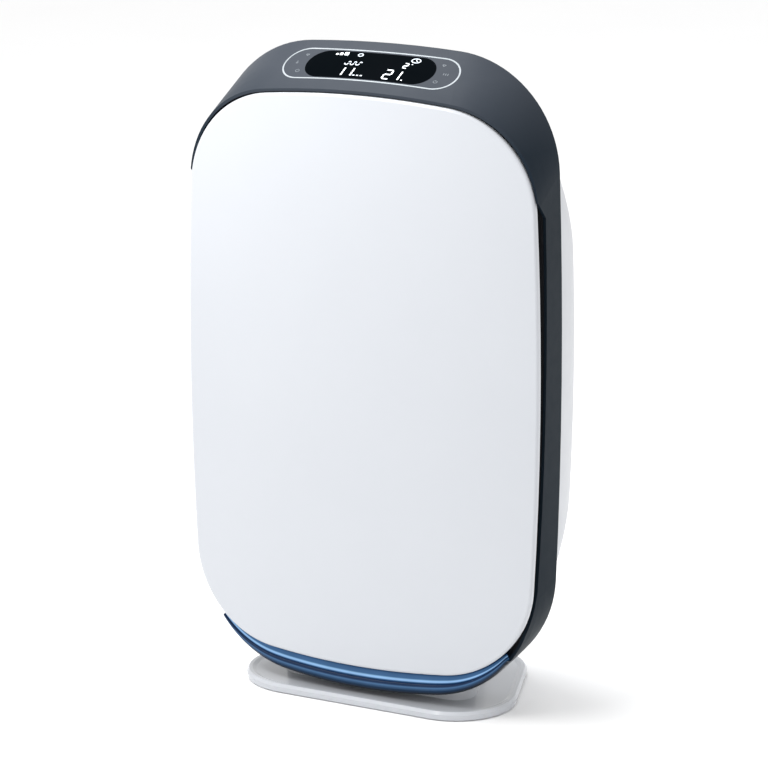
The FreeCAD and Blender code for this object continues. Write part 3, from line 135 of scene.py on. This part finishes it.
# All marks are in millimetres across and up from the control area's middle, or from the key's own
# place: digit (text, x, t, width, height, stroke), stroke (from, to, width) and ring (centre, radii,
# width, first and last angle in degrees).
BRIGHT_MARKS = [
    ("digit", "1", -31.5, -16.0, 7.0, 12.0, 1.5), ("digit", "1", -21.5, -16.0, 7.0, 12.0, 1.5),
    ("digit", "2", 19.5, -16.0, 7.0, 13.0, 1.5), ("digit", "1", 29.0, -16.0, 7.0, 13.0, 1.5),
    ("digit", "2", 34.0, 2.0, 4.0, 7.0, 1.1),
    ("stroke", (-42.0, 14.0), (-42.0, 16.4), 2.4), ("stroke", (-37.5, 14.0), (-37.5, 17.4), 3.4),
    ("stroke", (-32.0, 14.0), (-32.0, 18.4), 4.4), ("stroke", (39.6, -15.6), (41.0, -15.6), 1.4)]
DIM_MARKS = [("ring", (-16.5, 15.5), (2.6, 2.0), 0.9)]
DIM_MARKS += [("stroke", (x, -14.8), (x + 2.4, -14.8), 1.3) for x in (-12.0, -8.0, -4.0)]
DIM_MARKS += [("ring", (43.5, 14.2), (4.6, 3.0), 1.0), ("stroke", (43.5, 14.2), (43.5, 16.2), 0.8),
              ("stroke", (43.5, 14.2), (45.4, 13.5), 0.8), ("stroke", (41.2, 8.4), (42.4, 8.4), 1.2)]
for wave_x in (-26.0, -20.0, -14.0):
    DIM_MARKS += [("ring", (wave_x, 3.4), (2.1, 3.2), 1.1, 200.0, 340.0),
                  ("ring", (wave_x + 3.0, 3.0), (1.2, 2.2), 1.0, 20.0, 160.0)]

FUNNEL_SIGN = [("stroke", (-1.8, 1.0), (1.8, 1.0), 0.7), ("stroke", (-1.8, 0.8), (0.0, -1.6), 0.7),
               ("stroke", (1.8, 0.8), (0.0, -1.6), 0.7)]
DOT_SIGN = [("ring", (0.0, 0.0), (0.9, 0.9), 0.8), ("stroke", (0.0, 1.6), (0.0, 2.8), 0.7)]
BARS_SIGN = [("stroke", (x, -1.4), (x, 1.4), 0.8) for x in (-2.2, 0.0, 2.2)]
POWER_SIGN = [("ring", (0.0, 0.0), (2.0, 1.7), 0.6, 120.0, 420.0), ("stroke", (0.0, 0.6), (0.0, 2.4), 0.6)]
KEY_PLACES = [(73.5, 12.5), (80.0, 0.5), (74.0, -11.5)]        # right side; the left is its mirror
KEY_SIGNS = {-1: (FUNNEL_SIGN, DOT_SIGN, POWER_SIGN), 1: (FUNNEL_SIGN, BARS_SIGN, POWER_SIGN)}

# ---- Soft and fine pieces of the filters -------------------------------------------------
STRAND = 0.00028                     # half a strand's width
STRAND_DEPTH = 0.9                   # half its depth, as a share of that
STRAND_PITCH = 0.0026
SCREEN_INSET = 1.5 * MM

PAD_SEED = 11
PAD_STEP = 0.006
PAD_RISE_X, PAD_RISE_Z = 26.0, 38.0  # how steeply the pad fills out from its edges
PAD_EDGE, PAD_SWELL, PAD_PEBBLE = 0.55, 0.35, 0.10    # shares of half the pad's depth

SEAL_WIDTH = 6.4 * MM
SEAL_CORNER = 11.5 * MM
SEAL_INSET = 0.2 * MM
SEAL_SKIN = 0.05 * MM                # room left before and behind the seal
SEAL_ROUND = 0.6                     # power of the sine; below one the section is fuller
SEAL_SECTIONS = 10
CORNER_STEPS = 8

RIBBON_WIDTH = 20.0 * MM
RIBBON_STEPS, RIBBON_ACROSS = 24, 6
RIBBON_RIPPLE = 0.08 * MM
RIPPLE_ALONG, RIPPLE_ACROSS = 9.0, 2.0         # radians of ripple along and across a ribbon
STITCH_ROWS = (3.0 * MM, 5.5 * MM)
STITCH_COUNT = 6
STITCH_FIRST, STITCH_PITCH, STITCH_LENGTH = 2.0, 2.8, 1.8 * MM
STITCH_LIFT = 0.16 * MM
STITCH_HALF_WIDTH, STITCH_HALF_DEPTH = 0.15 * MM, 0.06 * MM


# ---- Camera, lights and floor --------------------------------------------------------------
def add_camera():
    ca, sa = math.cos(VIEW_AZIMUTH), math.sin(VIEW_AZIMUTH)
    ce, se = math.cos(VIEW_ELEVATION), math.sin(VIEW_ELEVATION)
    right = Vector((ca, sa, 0.0))
    back = Vector((sa * ce, -ca * ce, se))
    up = back.cross(right)
    data = bpy.data.cameras.new("camera")
    data.lens = LENS
    data.sensor_width = SENSOR
    data.clip_end = 200.0
    camera = bpy.data.objects.new("camera", data)
    bpy.context.scene.collection.objects.link(camera)
    turn = Matrix((right, up, back)).transposed().to_4x4()
    place = AIM + VIEW_DISTANCE * back + VIEW_SIDESTEP * right
    camera.matrix_world = Matrix.Translation(place) @ turn @ Matrix.Rotation(VIEW_ROLL, 4, "Z")
    bpy.context.scene.camera = camera


def new_object(name, vertices, faces, smooth=True):
    mesh = bpy.data.meshes.new(name)
    mesh.from_pydata([tuple(v) for v in vertices], [], faces)
    mesh.validate()
    for face in mesh.polygons:
        face.use_smooth = smooth
    obj = bpy.data.objects.new(name, mesh)
    bpy.context.scene.collection.objects.link(obj)
    return obj


def area_light(name, place, aim, size, power, colour):
    data = bpy.data.lights.new(name, "AREA")
    data.shape = "RECTANGLE"
    data.size, data.size_y = size
    data.energy = power
    data.color = colour
    light = bpy.data.objects.new(name, data)
    light.location = place
    light.rotation_euler = (Vector(aim) - Vector(place)).to_track_quat("-Z", "Y").to_euler()
    bpy.context.scene.collection.objects.link(light)


def add_stage():
    half = FLOOR_SIZE / 2
    floor = new_object("floor", [(-half, -half, 0), (half, -half, 0), (half, half, 0), (-half, half, 0)],
                       [(0, 1, 2, 3)])
    floor.data.materials.append(grained("floor_paper", (0.955, 0.955, 0.955), (0.965, 0.965, 0.965), 3.0,
                                        roughness=(0.7, 0.8), Specular_IOR_Level=0.1))
    world = bpy.data.worlds.new("studio")
    world.use_nodes = True
    background = world.node_tree.nodes["Background"]
    background.inputs["Color"].default_value = (1.0, 1.0, 1.0, 1.0)
    background.inputs["Strength"].default_value = WORLD_STRENGTH
    bpy.context.scene.world = world
    area_light("overhead", **OVERHEAD_LIGHT)
    area_light("fill", **FILL_LIGHT)


# ---- Materials -----------------------------------------------------------------------------
class Shader:
    """Short ways to add and join the nodes of one material."""

    def __init__(self, name):
        self.material = bpy.data.materials.new(name)
        self.material.use_nodes = True
        self.tree = self.material.node_tree
        self.surface = self.tree.nodes["Principled BSDF"]
        self.place = self.tree.nodes.new("ShaderNodeTexCoord").outputs["Object"]

    def node(self, kind, settings=None, **inputs):
        made = self.tree.nodes.new(kind)
        for key, value in (settings or {}).items():
            setattr(made, key, value)
        for key, value in inputs.items():
            self.feed(made.inputs[key.replace("_", " ")], value)
        return made

    def feed(self, socket, value):
        if isinstance(value, bpy.types.NodeSocket):
            self.tree.links.new(value, socket)
        else:
            socket.default_value = value

    def set(self, **values):
        for key, value in values.items():
            self.feed(self.surface.inputs[key.replace("_", " ")], value)

    def noise(self, scale, detail=4.0):
        return self.node("ShaderNodeTexNoise", Vector=self.place, Scale=scale, Detail=detail).outputs["Fac"]

    def attribute(self, name):
        return self.node("ShaderNodeAttribute", {"attribute_name": name}).outputs["Fac"]

    def ramp(self, value, stops):
        made = self.node("ShaderNodeValToRGB", Fac=value)
        while len(made.color_ramp.elements) < len(stops):
            made.color_ramp.elements.new(0.5)
        for element, (position, colour) in zip(made.color_ramp.elements, stops):
            element.position = position
            element.color = (*colour, 1.0)
        return made.outputs["Color"]

    def spread(self, value, low, high, start=0.3, end=0.7):
        made = self.node("ShaderNodeMapRange", Value=value)
        made.inputs["From Min"].default_value = start
        made.inputs["From Max"].default_value = end
        made.inputs["To Min"].default_value = low
        made.inputs["To Max"].default_value = high
        return made.outputs["Result"]

    def math(self, operation, first, second=0.0):
        """One step of arithmetic on values or sockets."""
        made = self.node("ShaderNodeMath", {"operation": operation})
        self.feed(made.inputs[0], first)
        self.feed(made.inputs[1], second)
        return made.outputs["Value"]

    def bump(self, height, depth):
        return self.node("ShaderNodeBump", Height=height, Strength=1.0, Distance=depth).outputs["Normal"]


def grained(name, dark, light, colour_scale, roughness, grain=None, **sockets):
    """Two close colours mixed by slow noise, a roughness that varies with a finer one, and an
    optional moulded grain given as (scale, depth)."""
    s = Shader(name)
    slow = s.noise(colour_scale)
    fine = s.noise(colour_scale * FINE_NOISE, 5.0)
    s.set(Base_Color=s.ramp(slow, [(0.3, dark), (0.7, light)]),
          Roughness=s.spread(fine, roughness[0], roughness[1]), **sockets)
    if grain:
        s.set(Normal=s.bump(s.noise(grain[0], 3.0), grain[1]))
    return s.material


def glowing(name, colour, strength):
    """Lit printing behind the window, a little uneven."""
    s = Shader(name)
    level = s.spread(s.noise(400.0), 0.85 * strength, strength)
    s.set(Base_Color=(*colour, 1.0), Emission_Color=(*colour, 1.0), Emission_Strength=level, Roughness=0.5)
    return s.material


def slate_paint_with_painted_sheen():
    """Satin slate grey with a painted sheen: a little lighter on the sloping top than down the sides, where
    the overhead light's reflection falls.
    """
    s = Shader("slate")
    height = s.node("ShaderNodeSeparateXYZ", Vector=s.place).outputs["Z"]
    drift = s.math("MULTIPLY", s.noise(12.0), 0.02)
    # painted sheen: the slate grows lighter with height, in place of the overhead light's reflection on the
    # slope
    level = s.spread(s.math("ADD", height, drift), 0.0, 1.0, SLATE_SHEEN_LOW, SLATE_SHEEN_HIGH)
    s.set(Base_Color=s.ramp(level, SLATE_SHEEN_STOPS), Roughness=s.spread(s.noise(90.0, 5.0), 0.36, 0.42),
          Normal=s.bump(s.noise(1800.0, 3.0), 0.00001), Specular_IOR_Level=0.04)
    return s.material


def lip_material(name, stops, roughness, strength):
    """Gloss with the strip's light painted on as emission, the light guide's own glow and a painted
    reflection on the bumper: the light follows the way across the lip and fades towards both its ends."""
    s = Shader(name)
    lit = s.ramp(s.attribute("across"), stops)
    level = s.math("MULTIPLY", s.attribute("lit"), s.spread(s.noise(60.0), 0.9 * strength, strength))
    shade = s.ramp(s.noise(30.0), [(0.3, (0.006, 0.008, 0.012)), (0.7, (0.009, 0.011, 0.016))])
    s.set(Base_Color=shade, Emission_Color=lit, Emission_Strength=level,
          Roughness=s.spread(s.noise(90.0), roughness, roughness + 0.05), Specular_IOR_Level=0.10)
    return s.material


def woven(name, warp, weft, pitch, depth):
    """Plain weave along X and Z, threads at the given pitch."""
    s = Shader(name)
    across = s.node("ShaderNodeSeparateXYZ", Vector=s.place)
    turn = 2 * math.pi / pitch
    ridge_x = s.math("SINE", s.math("MULTIPLY", across.outputs["X"], turn))
    ridge_z = s.math("SINE", s.math("MULTIPLY", across.outputs["Z"], turn))
    weave = s.math("MULTIPLY", ridge_x, ridge_z)
    colour = s.ramp(s.spread(weave, 0.0, 1.0, -1.0, 1.0), [(0.2, warp), (0.8, weft)])
    s.set(Base_Color=colour, Roughness=s.spread(s.noise(500.0), 0.75, 0.9), Normal=s.bump(weave, depth))
    return s.material


def slot_materials():
    return {
        "white_gloss": grained("white_gloss", (0.478, 0.494, 0.524), (0.490, 0.506, 0.536), 6.0,
                               (0.16, 0.20), (700.0, 0.000003), Coat_Weight=0.2, Coat_Roughness=0.05),
        "white_satin": grained("white_satin", (0.545, 0.558, 0.585), (0.560, 0.573, 0.600), 8.0,
                               (0.36, 0.44), (1500.0, 0.00003)),
        "slate": slate_paint_with_painted_sheen(),
        "black_gloss": grained("black_gloss", (0.006, 0.008, 0.011), (0.008, 0.010, 0.014), 10.0,
                               (0.10, 0.14), Specular_IOR_Level=0.3),
        "light_guide": grained("light_guide", (0.03, 0.10, 0.25), (0.04, 0.12, 0.28), 10.0, (0.2, 0.3)),
        "silver_line": grained("silver_line", (0.22, 0.245, 0.26), (0.28, 0.30, 0.32), 60.0, (0.4, 0.5),
                               Metallic=0.3),
        "window": grained("window", (0.002, 0.003, 0.004), (0.003, 0.004, 0.005), 20.0, (0.10, 0.14),
                          Specular_IOR_Level=0.0),
        "black_matte": grained("black_matte", (0.006, 0.006, 0.008), (0.010, 0.010, 0.012), 20.0,
                               (0.5, 0.62), (1400.0, 0.00004), Specular_IOR_Level=0.3),
        "grey_plastic": grained("grey_plastic", (0.20, 0.21, 0.22), (0.23, 0.24, 0.25), 15.0, (0.42, 0.52),
                                (1400.0, 0.00003)),
        "mesh": grained("mesh", (0.035, 0.037, 0.042), (0.060, 0.062, 0.068), 200.0, (0.5, 0.65)),
        "filter_rim": grained("filter_rim", (0.62, 0.62, 0.58), (0.70, 0.70, 0.66), 60.0, (0.7, 0.8),
                              (600.0, 0.0001)),
        "filter_paper": grained("filter_paper", (0.76, 0.77, 0.77), (0.83, 0.84, 0.84), 120.0, (0.8, 0.9),
                                (900.0, 0.0002)),
        "carbon": grained("carbon", (0.006, 0.006, 0.007), (0.045, 0.045, 0.047), 420.0, (0.55, 0.8),
                          (520.0, 0.0008)),
        "foam": grained("foam", (0.03, 0.03, 0.034), (0.06, 0.06, 0.066), 500.0, (0.85, 0.95),
                        (900.0, 0.0004)),
        "tab_fabric": woven("tab_fabric", (0.03, 0.09, 0.26), (0.06, 0.15, 0.36), 0.9 * MM, 0.15 * MM),
        "lamp_glass": grained("lamp_glass", (0.55, 0.60, 0.70), (0.62, 0.68, 0.78), 30.0, (0.05, 0.1),
                              Transmission_Weight=0.5),
        "impeller": grained("impeller", (0.05, 0.05, 0.055), (0.065, 0.065, 0.07), 20.0, (0.35, 0.45),
                            (900.0, 0.00003)),
        "copper_iron": grained("copper_iron", (0.30, 0.13, 0.06), (0.45, 0.22, 0.11), 120.0, (0.3, 0.45),
                               Metallic=0.8),
        "motor_steel": grained("motor_steel", (0.42, 0.43, 0.44), (0.52, 0.53, 0.54), 40.0, (0.3, 0.42),
                               Metallic=0.9),
        "steel": grained("steel", (0.45, 0.46, 0.47), (0.60, 0.61, 0.62), 90.0, (0.25, 0.38), Metallic=1.0),
        "brass": grained("brass", (0.60, 0.46, 0.22), (0.70, 0.56, 0.30), 90.0, (0.22, 0.32), Metallic=1.0),
        "board": grained("board", (0.010, 0.09, 0.04), (0.015, 0.12, 0.055), 60.0, (0.25, 0.35)),
        "rubber": grained("rubber", (0.018, 0.018, 0.018), (0.028, 0.028, 0.028), 40.0, (0.65, 0.78),
                          (1200.0, 0.00006)),
    }


def paint_nodes(made):
    slot_of = {row["node"]: row["material_slot"] for row in frame["record"]["subparts"]}
    for name, obj in frame["nodes"].items():
        obj.data.materials.clear()
        obj.data.materials.append(made[slot_of[name]])


def finish_piece(obj, material, body, slot, *replaced):
    obj.data.materials.append(material)
    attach(obj, body)
    if replaced:
        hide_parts(*replaced)


# ---- The lit lip below the panel -------------------------------------------------------------
def hull(points):
    """Convex outline of (x, z) points, anticlockwise."""
    points = sorted(set(points))

    def turn(a, b, c):
        return (b[0] - a[0]) * (c[1] - a[1]) - (b[1] - a[1]) * (c[0] - a[0])

    def half(order):
        chain = []
        for p in order:
            while len(chain) > 1 and turn(chain[-2], chain[-1], p) <= 0:
                chain.pop()
            chain.append(p)
        return chain[:-1]

    return half(points) + half(points[::-1])


def node_hull(node):
    return hull([(round(v.co.x, 6), round(v.co.z, 6)) for v in frame["nodes"][node].data.vertices])


def reach(outline, angle):
    """Distance from the panel's centre to the outline in one direction."""
    dx, dz = math.cos(angle), math.sin(angle)
    best = 0.0
    for (ax, az), (bx, bz) in zip(outline, outline[1:] + outline[:1]):
        ex, ez = bx - ax, bz - az
        cross = dx * ez - dz * ex
        if abs(cross) < PARALLEL:
            continue
        run = (ax * ez - (az - MID_Z) * ex) / cross
        share = (ax * dz - (az - MID_Z) * dx) / cross
        if -SLACK <= share <= 1 + SLACK:
            best = max(best, run)
    return best


def crown_y(x):
    return CROWN_FRONT + CROWN_RADIUS - math.sqrt(CROWN_RADIUS ** 2 - x * x)


def lip_angles(outline):
    """Directions in which the lip's outer edge lies below its top."""
    angles = []
    for i in range(LIP_STATIONS + 1):
        angle = LIP_LOW + (LIP_HIGH - LIP_LOW) * i / LIP_STATIONS
        if MID_Z + reach(outline, angle) * math.sin(angle) < LIP_TOP - LIP_MARGIN:
            angles.append(angle)
    return angles


def end_fade(z):
    """One along the middle of the lip, falling to nothing where the lit strip ends."""
    rise = (z - LIP_FADE_START) / (LIP_FADE_END - LIP_FADE_START)
    return 1.0 - min(1.0, max(0.0, rise)) ** 2


def sweep_lip(name, profile, outer, inner):
    """Closed band with the given profile, swept round the lip."""
    angles = lip_angles(outer)
    vertices, faces, across, lit = [], [], [], []
    count = len(profile)
    for angle in angles:
        r_in, r_out = reach(inner, angle), reach(outer, angle)
        for way, depth, tone in profile:
            r = r_in + (r_out - r_in) * way
            x, z = r * math.cos(angle), MID_Z + r * math.sin(angle)
            y = LIP_BACK if depth is None else crown_y(x) + depth * MM
            vertices.append((x, min(y, LIP_BACK), z))
            across.append(tone)
            lit.append(end_fade(z))
    for i in range(len(angles) - 1):
        for j in range(count):
            k = (j + 1) % count
            faces.append((i * count + j, i * count + k, (i + 1) * count + k, (i + 1) * count + j))
    faces.append(tuple(reversed(range(count))))
    faces.append(tuple((len(angles) - 1) * count + j for j in range(count)))
    obj = new_object(name, vertices, faces)
    for key, values in (("across", across), ("lit", lit)):
        layer = obj.data.attributes.new(key, "FLOAT", "POINT")
        layer.data.foreach_set("value", values)
    return obj


def bumper_profile():
    """Quarter round from the guide's edge to the lip's outer edge, closed along the lip's back."""
    profile = [(GUIDE_EDGE, None, 0.0), (GUIDE_EDGE, BUMPER_CORNER, 0.0)]
    for i in range(BUMPER_STEPS + 1):
        turn = math.pi / 2 * i / BUMPER_STEPS
        share = BUMPER_NOSE_WAY + (1 - BUMPER_NOSE_WAY) * math.sin(turn)
        fall = BUMPER_FALL * (1 - math.cos(turn)) ** BUMPER_FALL_POWER
        tone = BUMPER_NOSE_TONE + (1 - BUMPER_NOSE_TONE) * math.sin(turn)
        profile.append((GUIDE_EDGE + (1 - GUIDE_EDGE) * share, BUMPER_NOSE + fall, tone))
    profile.append((1.0, None, 1.0))
    return profile


def build_lip():
    outer = node_hull("lower_bezel")
    inner = node_hull("front_panel")
    channel = sweep_lip("light_channel", GUIDE_PROFILE, outer, inner)
    finish_piece(channel, lip_material("lit_channel", GUIDE_STOPS, 0.12, 1.0), "chassis", "light_guide",
                 "light_guide")
    # the bumper is black gloss; its glow is a painted reflection of the strip
    rim = sweep_lip("bumper", bumper_profile(), outer, inner)
    finish_piece(rim, lip_material("bumper_painted_reflection", BUMPER_REFLECTION_STOPS, 0.10, 0.75), "chassis", "black_gloss",
                 "lower_bezel")


# ---- Display and touch keys ------------------------------------------------------------------
class Slope:
    """Finds points on the sloping top, in millimetres across and up from the middle of the
    control area.  lift is their height above the surface, in millimetres too."""

    def __init__(self, lift):
        vertices, faces = [], []
        for node in ("main_housing", "display_window", "control_outline"):
            mesh = frame["nodes"][node].data
            start = len(vertices)
            vertices += [v.co.copy() for v in mesh.vertices]
            faces += [tuple(start + i for i in p.vertices) for p in mesh.polygons]
        self.tree = BVHTree.FromPolygons(vertices, faces)
        self.lift = lift * MM

    def point(self, x, t):
        above = SLOPE_START + SLOPE_UP * ((CONTROL_MIDDLE + t) * MM) + SLOPE_OUT * RAY_START
        for nudge in NUDGES:
            hit = self.tree.ray_cast(above + Vector(((x + nudge) * MM, nudge * MM, 0)), -SLOPE_OUT)[0]
            if hit:
                break
        return hit + SLOPE_OUT * self.lift


class Print:
    """Strokes, rings and digits gathered into one thin mesh."""

    def __init__(self, slope):
        self.slope = slope
        self.origin = (0.0, 0.0)
        self.vertices = []
        self.faces = []

    def draw(self, marks, origin=(0.0, 0.0)):
        self.origin = origin
        for kind, *given in marks:
            getattr(self, kind)(*given)

    def patch(self, a, b, c, d):
        """Four-sided patch, cut both ways so that it follows the surface below it."""
        start = len(self.vertices)
        for i in range(PATCH_STEPS + 1):
            for j in range(PATCH_STEPS + 1):
                u, v = i / PATCH_STEPS, j / PATCH_STEPS
                x, t = ((a[k] * (1 - u) + b[k] * u) * (1 - v) + (d[k] * (1 - u) + c[k] * u) * v
                        for k in (0, 1))
                self.vertices.append(self.slope.point(self.origin[0] + x, self.origin[1] + t))
        row = PATCH_STEPS + 1
        for i in range(PATCH_STEPS):
            for j in range(PATCH_STEPS):
                p = start + i * row + j
                self.faces.append((p, p + row, p + row + 1, p + 1))

    def stroke(self, a, b, width):
        dx, dt = b[0] - a[0], b[1] - a[1]
        length = math.hypot(dx, dt)
        nx, nt = -dt / length * width / 2, dx / length * width / 2
        self.patch((a[0] + nx, a[1] + nt), (a[0] - nx, a[1] - nt), (b[0] - nx, b[1] - nt),
                   (b[0] + nx, b[1] + nt))

    def ring(self, centre, radii, width, start=0.0, end=360.0):
        steps = max(RING_FEWEST, int((end - start) / RING_STEP))
        points = []
        for i in range(steps + 1):
            angle = math.radians(start + (end - start) * i / steps)
            points.append((centre[0] + radii[0] * math.cos(angle), centre[1] + radii[1] * math.sin(angle)))
        for a, b in zip(points, points[1:]):
            self.stroke(a, b, width)

    def digit(self, text, x, t, width, height, stroke):
        """Seven-segment digit whose foot stands at (x, t)."""
        gap = stroke * DIGIT_GAP
        lean = height * DIGIT_LEAN
        left, right = x, x + width
        low, mid, high = t, t + height / 2, t + height

        def at(px, pt):
            return (px + lean * (pt - t) / height, pt)

        ends = {
            "a": (at(left + gap, high), at(right - gap, high)),
            "b": (at(right, mid + gap), at(right, high - gap)),
            "c": (at(right, low + gap), at(right, mid - gap)),
            "d": (at(left + gap, low), at(right - gap, low)),
            "e": (at(left, low + gap), at(left, mid - gap)),
            "g": (at(left + gap, mid), at(right - gap, mid)),
        }
        for key in SEGMENTS[text]:
            self.stroke(*ends[key], stroke)

    def made(self, name, material, slot):
        obj = new_object(name, self.vertices, self.faces)
        thick = obj.modifiers.new("thickness", "SOLIDIFY")
        thick.thickness = PRINT_THICKNESS
        thick.offset = 1.0
        finish_piece(obj, material, "chassis", slot)


def build_display():
    glass = Slope(DISPLAY_LIFT)
    bright = Print(glass)
    bright.draw(BRIGHT_MARKS)
    bright.made("lit_digits", glowing("lit_white", (0.92, 0.96, 1.0), 1.0), "window")
    dim = Print(glass)
    dim.draw(DIM_MARKS)
    dim.made("lit_symbols", glowing("lit_dim", (0.62, 0.68, 0.74), 0.9), "window")


def build_keys():
    keys = Print(Slope(KEYS_LIFT))
    for side, signs in KEY_SIGNS.items():
        for (x, t), sign in zip(KEY_PLACES, signs):
            keys.draw(sign, (side * x, t))
    keys.made("touch_keys", grained("key_print", (0.13, 0.15, 0.17), (0.17, 0.19, 0.21), 80.0, (0.5, 0.6)),
              "slate")


# ---- Soft and fine pieces of the filters -----------------------------------------------------
def strand(vertices, faces, a, b, side, out):
    """Flat bar from a to b with half widths side and out."""
    start = len(vertices)
    for end in (a, b):
        for p, q in ((-1, -1), (1, -1), (1, 1), (-1, 1)):
            vertices.append(end + side * p + out * q)
    for i in range(4):
        j = (i + 1) % 4
        faces.append((start + i, start + j, start + 4 + j, start + 4 + i))
    faces.append((start + 3, start + 2, start + 1, start))
    faces.append((start + 4, start + 5, start + 6, start + 7))


def build_screen(made):
    """The pre-filter's screen: two layers of strands, one upright and one across."""
    low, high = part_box("prefilter_mesh")
    middle = (low.y + high.y) / 2
    out = Vector((0, STRAND * STRAND_DEPTH, 0))
    vertices, faces = [], []
    for axis, layer in (("x", -STRAND), ("z", STRAND)):
        y = middle + layer
        first = getattr(low, axis) + SCREEN_INSET + STRAND
        last = getattr(high, axis) - SCREEN_INSET - STRAND
        count = int((last - first) / STRAND_PITCH)
        for i in range(count + 1):
            place = first + (last - first) * i / count
            if axis == "x":
                a, b = Vector((place, y, low.z + SCREEN_INSET)), Vector((place, y, high.z - SCREEN_INSET))
                side = Vector((STRAND, 0, 0))
            else:
                a, b = Vector((low.x + SCREEN_INSET, y, place)), Vector((high.x - SCREEN_INSET, y, place))
                side = Vector((0, 0, STRAND))
            strand(vertices, faces, a, b, side, out)
    screen = new_object("screen", vertices, faces, smooth=False)
    finish_piece(screen, made["mesh"], "prefilter", "mesh", "prefilter_mesh")


def build_carbon(made):
    """Fleece pad filled with granules: a rounded slab whose faces are pebbled."""
    low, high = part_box("carbon_pad")
    centre = (low + high) / 2
    half = (high - low) / 2
    random.seed(PAD_SEED)
    columns = int(2 * half.x / PAD_STEP)
    rows = int(2 * half.z / PAD_STEP)
    vertices, faces = [], []
    for face in (-1, 1):
        for i in range(columns + 1):
            for j in range(rows + 1):
                u, w = 2 * i / columns - 1, 2 * j / rows - 1
                edge = min(1.0, PAD_RISE_X * (1 - abs(u)), PAD_RISE_Z * (1 - abs(w)))
                plump = PAD_EDGE + PAD_SWELL * math.sqrt(edge) + PAD_PEBBLE * random.random()
                vertices.append((centre.x + u * half.x, centre.y + face * half.y * plump,
                                 centre.z + w * half.z))
    row = rows + 1
    side = (columns + 1) * row
    for i in range(columns):
        for j in range(rows):
            a = i * row + j
            faces.append((a, a + row, a + row + 1, a + 1))
            faces.append((side + a + 1, side + a + row + 1, side + a + row, side + a))
    border = [i * row for i in range(columns + 1)] + [columns * row + j for j in range(1, rows + 1)]
    border += [i * row + rows for i in range(columns - 1, -1, -1)] + [j for j in range(rows - 1, 0, -1)]
    for a, b in zip(border, border[1:] + border[:1]):
        faces.append((b, a, a + side, b + side))
    pad = new_object("carbon_fleece", vertices, faces)
    finish_piece(pad, made["carbon"], "main_filter", "carbon", "carbon_pad")


def loop_points(half_x, half_z, radius):
    """Rounded rectangle in (x, z), anticlockwise."""
    points = []
    for cx, cz, start in ((1, 1, 0), (-1, 1, 90), (-1, -1, 180), (1, -1, 270)):
        for i in range(CORNER_STEPS + 1):
            angle = math.radians(start + 90 * i / CORNER_STEPS)
            points.append((cx * (half_x - radius) + radius * math.cos(angle),
                           cz * (half_z - radius) + radius * math.sin(angle)))
    return points


def build_seal(made):
    """Foam strip round the filter's back with a half-round section."""
    low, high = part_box("filter_seal")
    centre = (low + high) / 2
    half = (high - low) / 2
    loops = SEAL_SECTIONS + 1
    vertices, faces = [], []
    for i in range(loops):
        turn = math.pi * i / SEAL_SECTIONS
        inset = SEAL_WIDTH / 2 * (1 - math.cos(turn)) + SEAL_INSET
        y = low.y + SEAL_SKIN + 2 * (half.y - SEAL_SKIN) * math.sin(turn) ** SEAL_ROUND
        for x, z in loop_points(half.x - inset, half.z - inset, SEAL_CORNER - inset):
            vertices.append((centre.x + x, y, centre.z + z))
    around = len(vertices) // loops
    for i in range(loops):
        k = (i + 1) % loops
        for j in range(around):
            m = (j + 1) % around
            faces.append((i * around + j, i * around + m, k * around + m, k * around + j))
    seal = new_object("foam_seal", vertices, faces)
    finish_piece(seal, made["foam"], "main_filter", "foam", "filter_seal")


def build_ribbons(made):
    """Two woven ribbons lying on the filter's front, with a stitched end."""
    low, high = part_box("pull_tabs")
    width = RIBBON_WIDTH
    length = high.z - low.z
    row = RIBBON_ACROSS + 1
    y = (low.y + high.y) / 2
    for name, x in (("ribbon_left", low.x + width / 2), ("ribbon_right", high.x - width / 2)):
        vertices, faces = [], []
        for j in range(RIBBON_STEPS + 1):
            way = j / RIBBON_STEPS
            for i in range(row):
                u = i / RIBBON_ACROSS - 0.5
                ripple = RIBBON_RIPPLE * math.sin(way * RIPPLE_ALONG + u * RIPPLE_ACROSS)
                vertices.append((x + u * width, y + ripple, low.z + way * length))
        for j in range(RIBBON_STEPS):
            for i in range(RIBBON_ACROSS):
                a = j * row + i
                faces.append((a, a + 1, a + row + 1, a + row))
        ribbon = new_object(name, vertices, faces)
        finish_piece(ribbon, made["tab_fabric"], "main_filter", "tab_fabric", "pull_tabs")
        stitches = build_stitches(name + "_stitches", x, y, low.z, width, made)


def build_stitches(name, x, y, low_z, width, made):
    """Rows of short threads across a ribbon's lower end."""
    side, out = Vector((0, 0, STITCH_HALF_WIDTH)), Vector((0, STITCH_HALF_DEPTH, 0))
    vertices, faces = [], []
    for row in STITCH_ROWS:
        for i in range(STITCH_COUNT):
            start = Vector((x - width / 2 + (STITCH_FIRST + i * STITCH_PITCH) * MM, y - STITCH_LIFT,
                            low_z + row))
            strand(vertices, faces, start, start + Vector((STITCH_LENGTH, 0, 0)), side, out)
    obj = new_object(name, vertices, faces, smooth=False)
    finish_piece(obj, made["filter_paper"], "main_filter", "filter_paper")
    return obj


# ---- Scene -----------------------------------------------------------------------------------
bpy.context.scene.view_settings.view_transform = "Standard"
add_camera()
add_stage()
materials = slot_materials()
paint_nodes(materials)
build_lip()
build_display()
build_keys()
build_screen(materials)
build_carbon(materials)
build_seal(materials)
build_ribbons(materials)
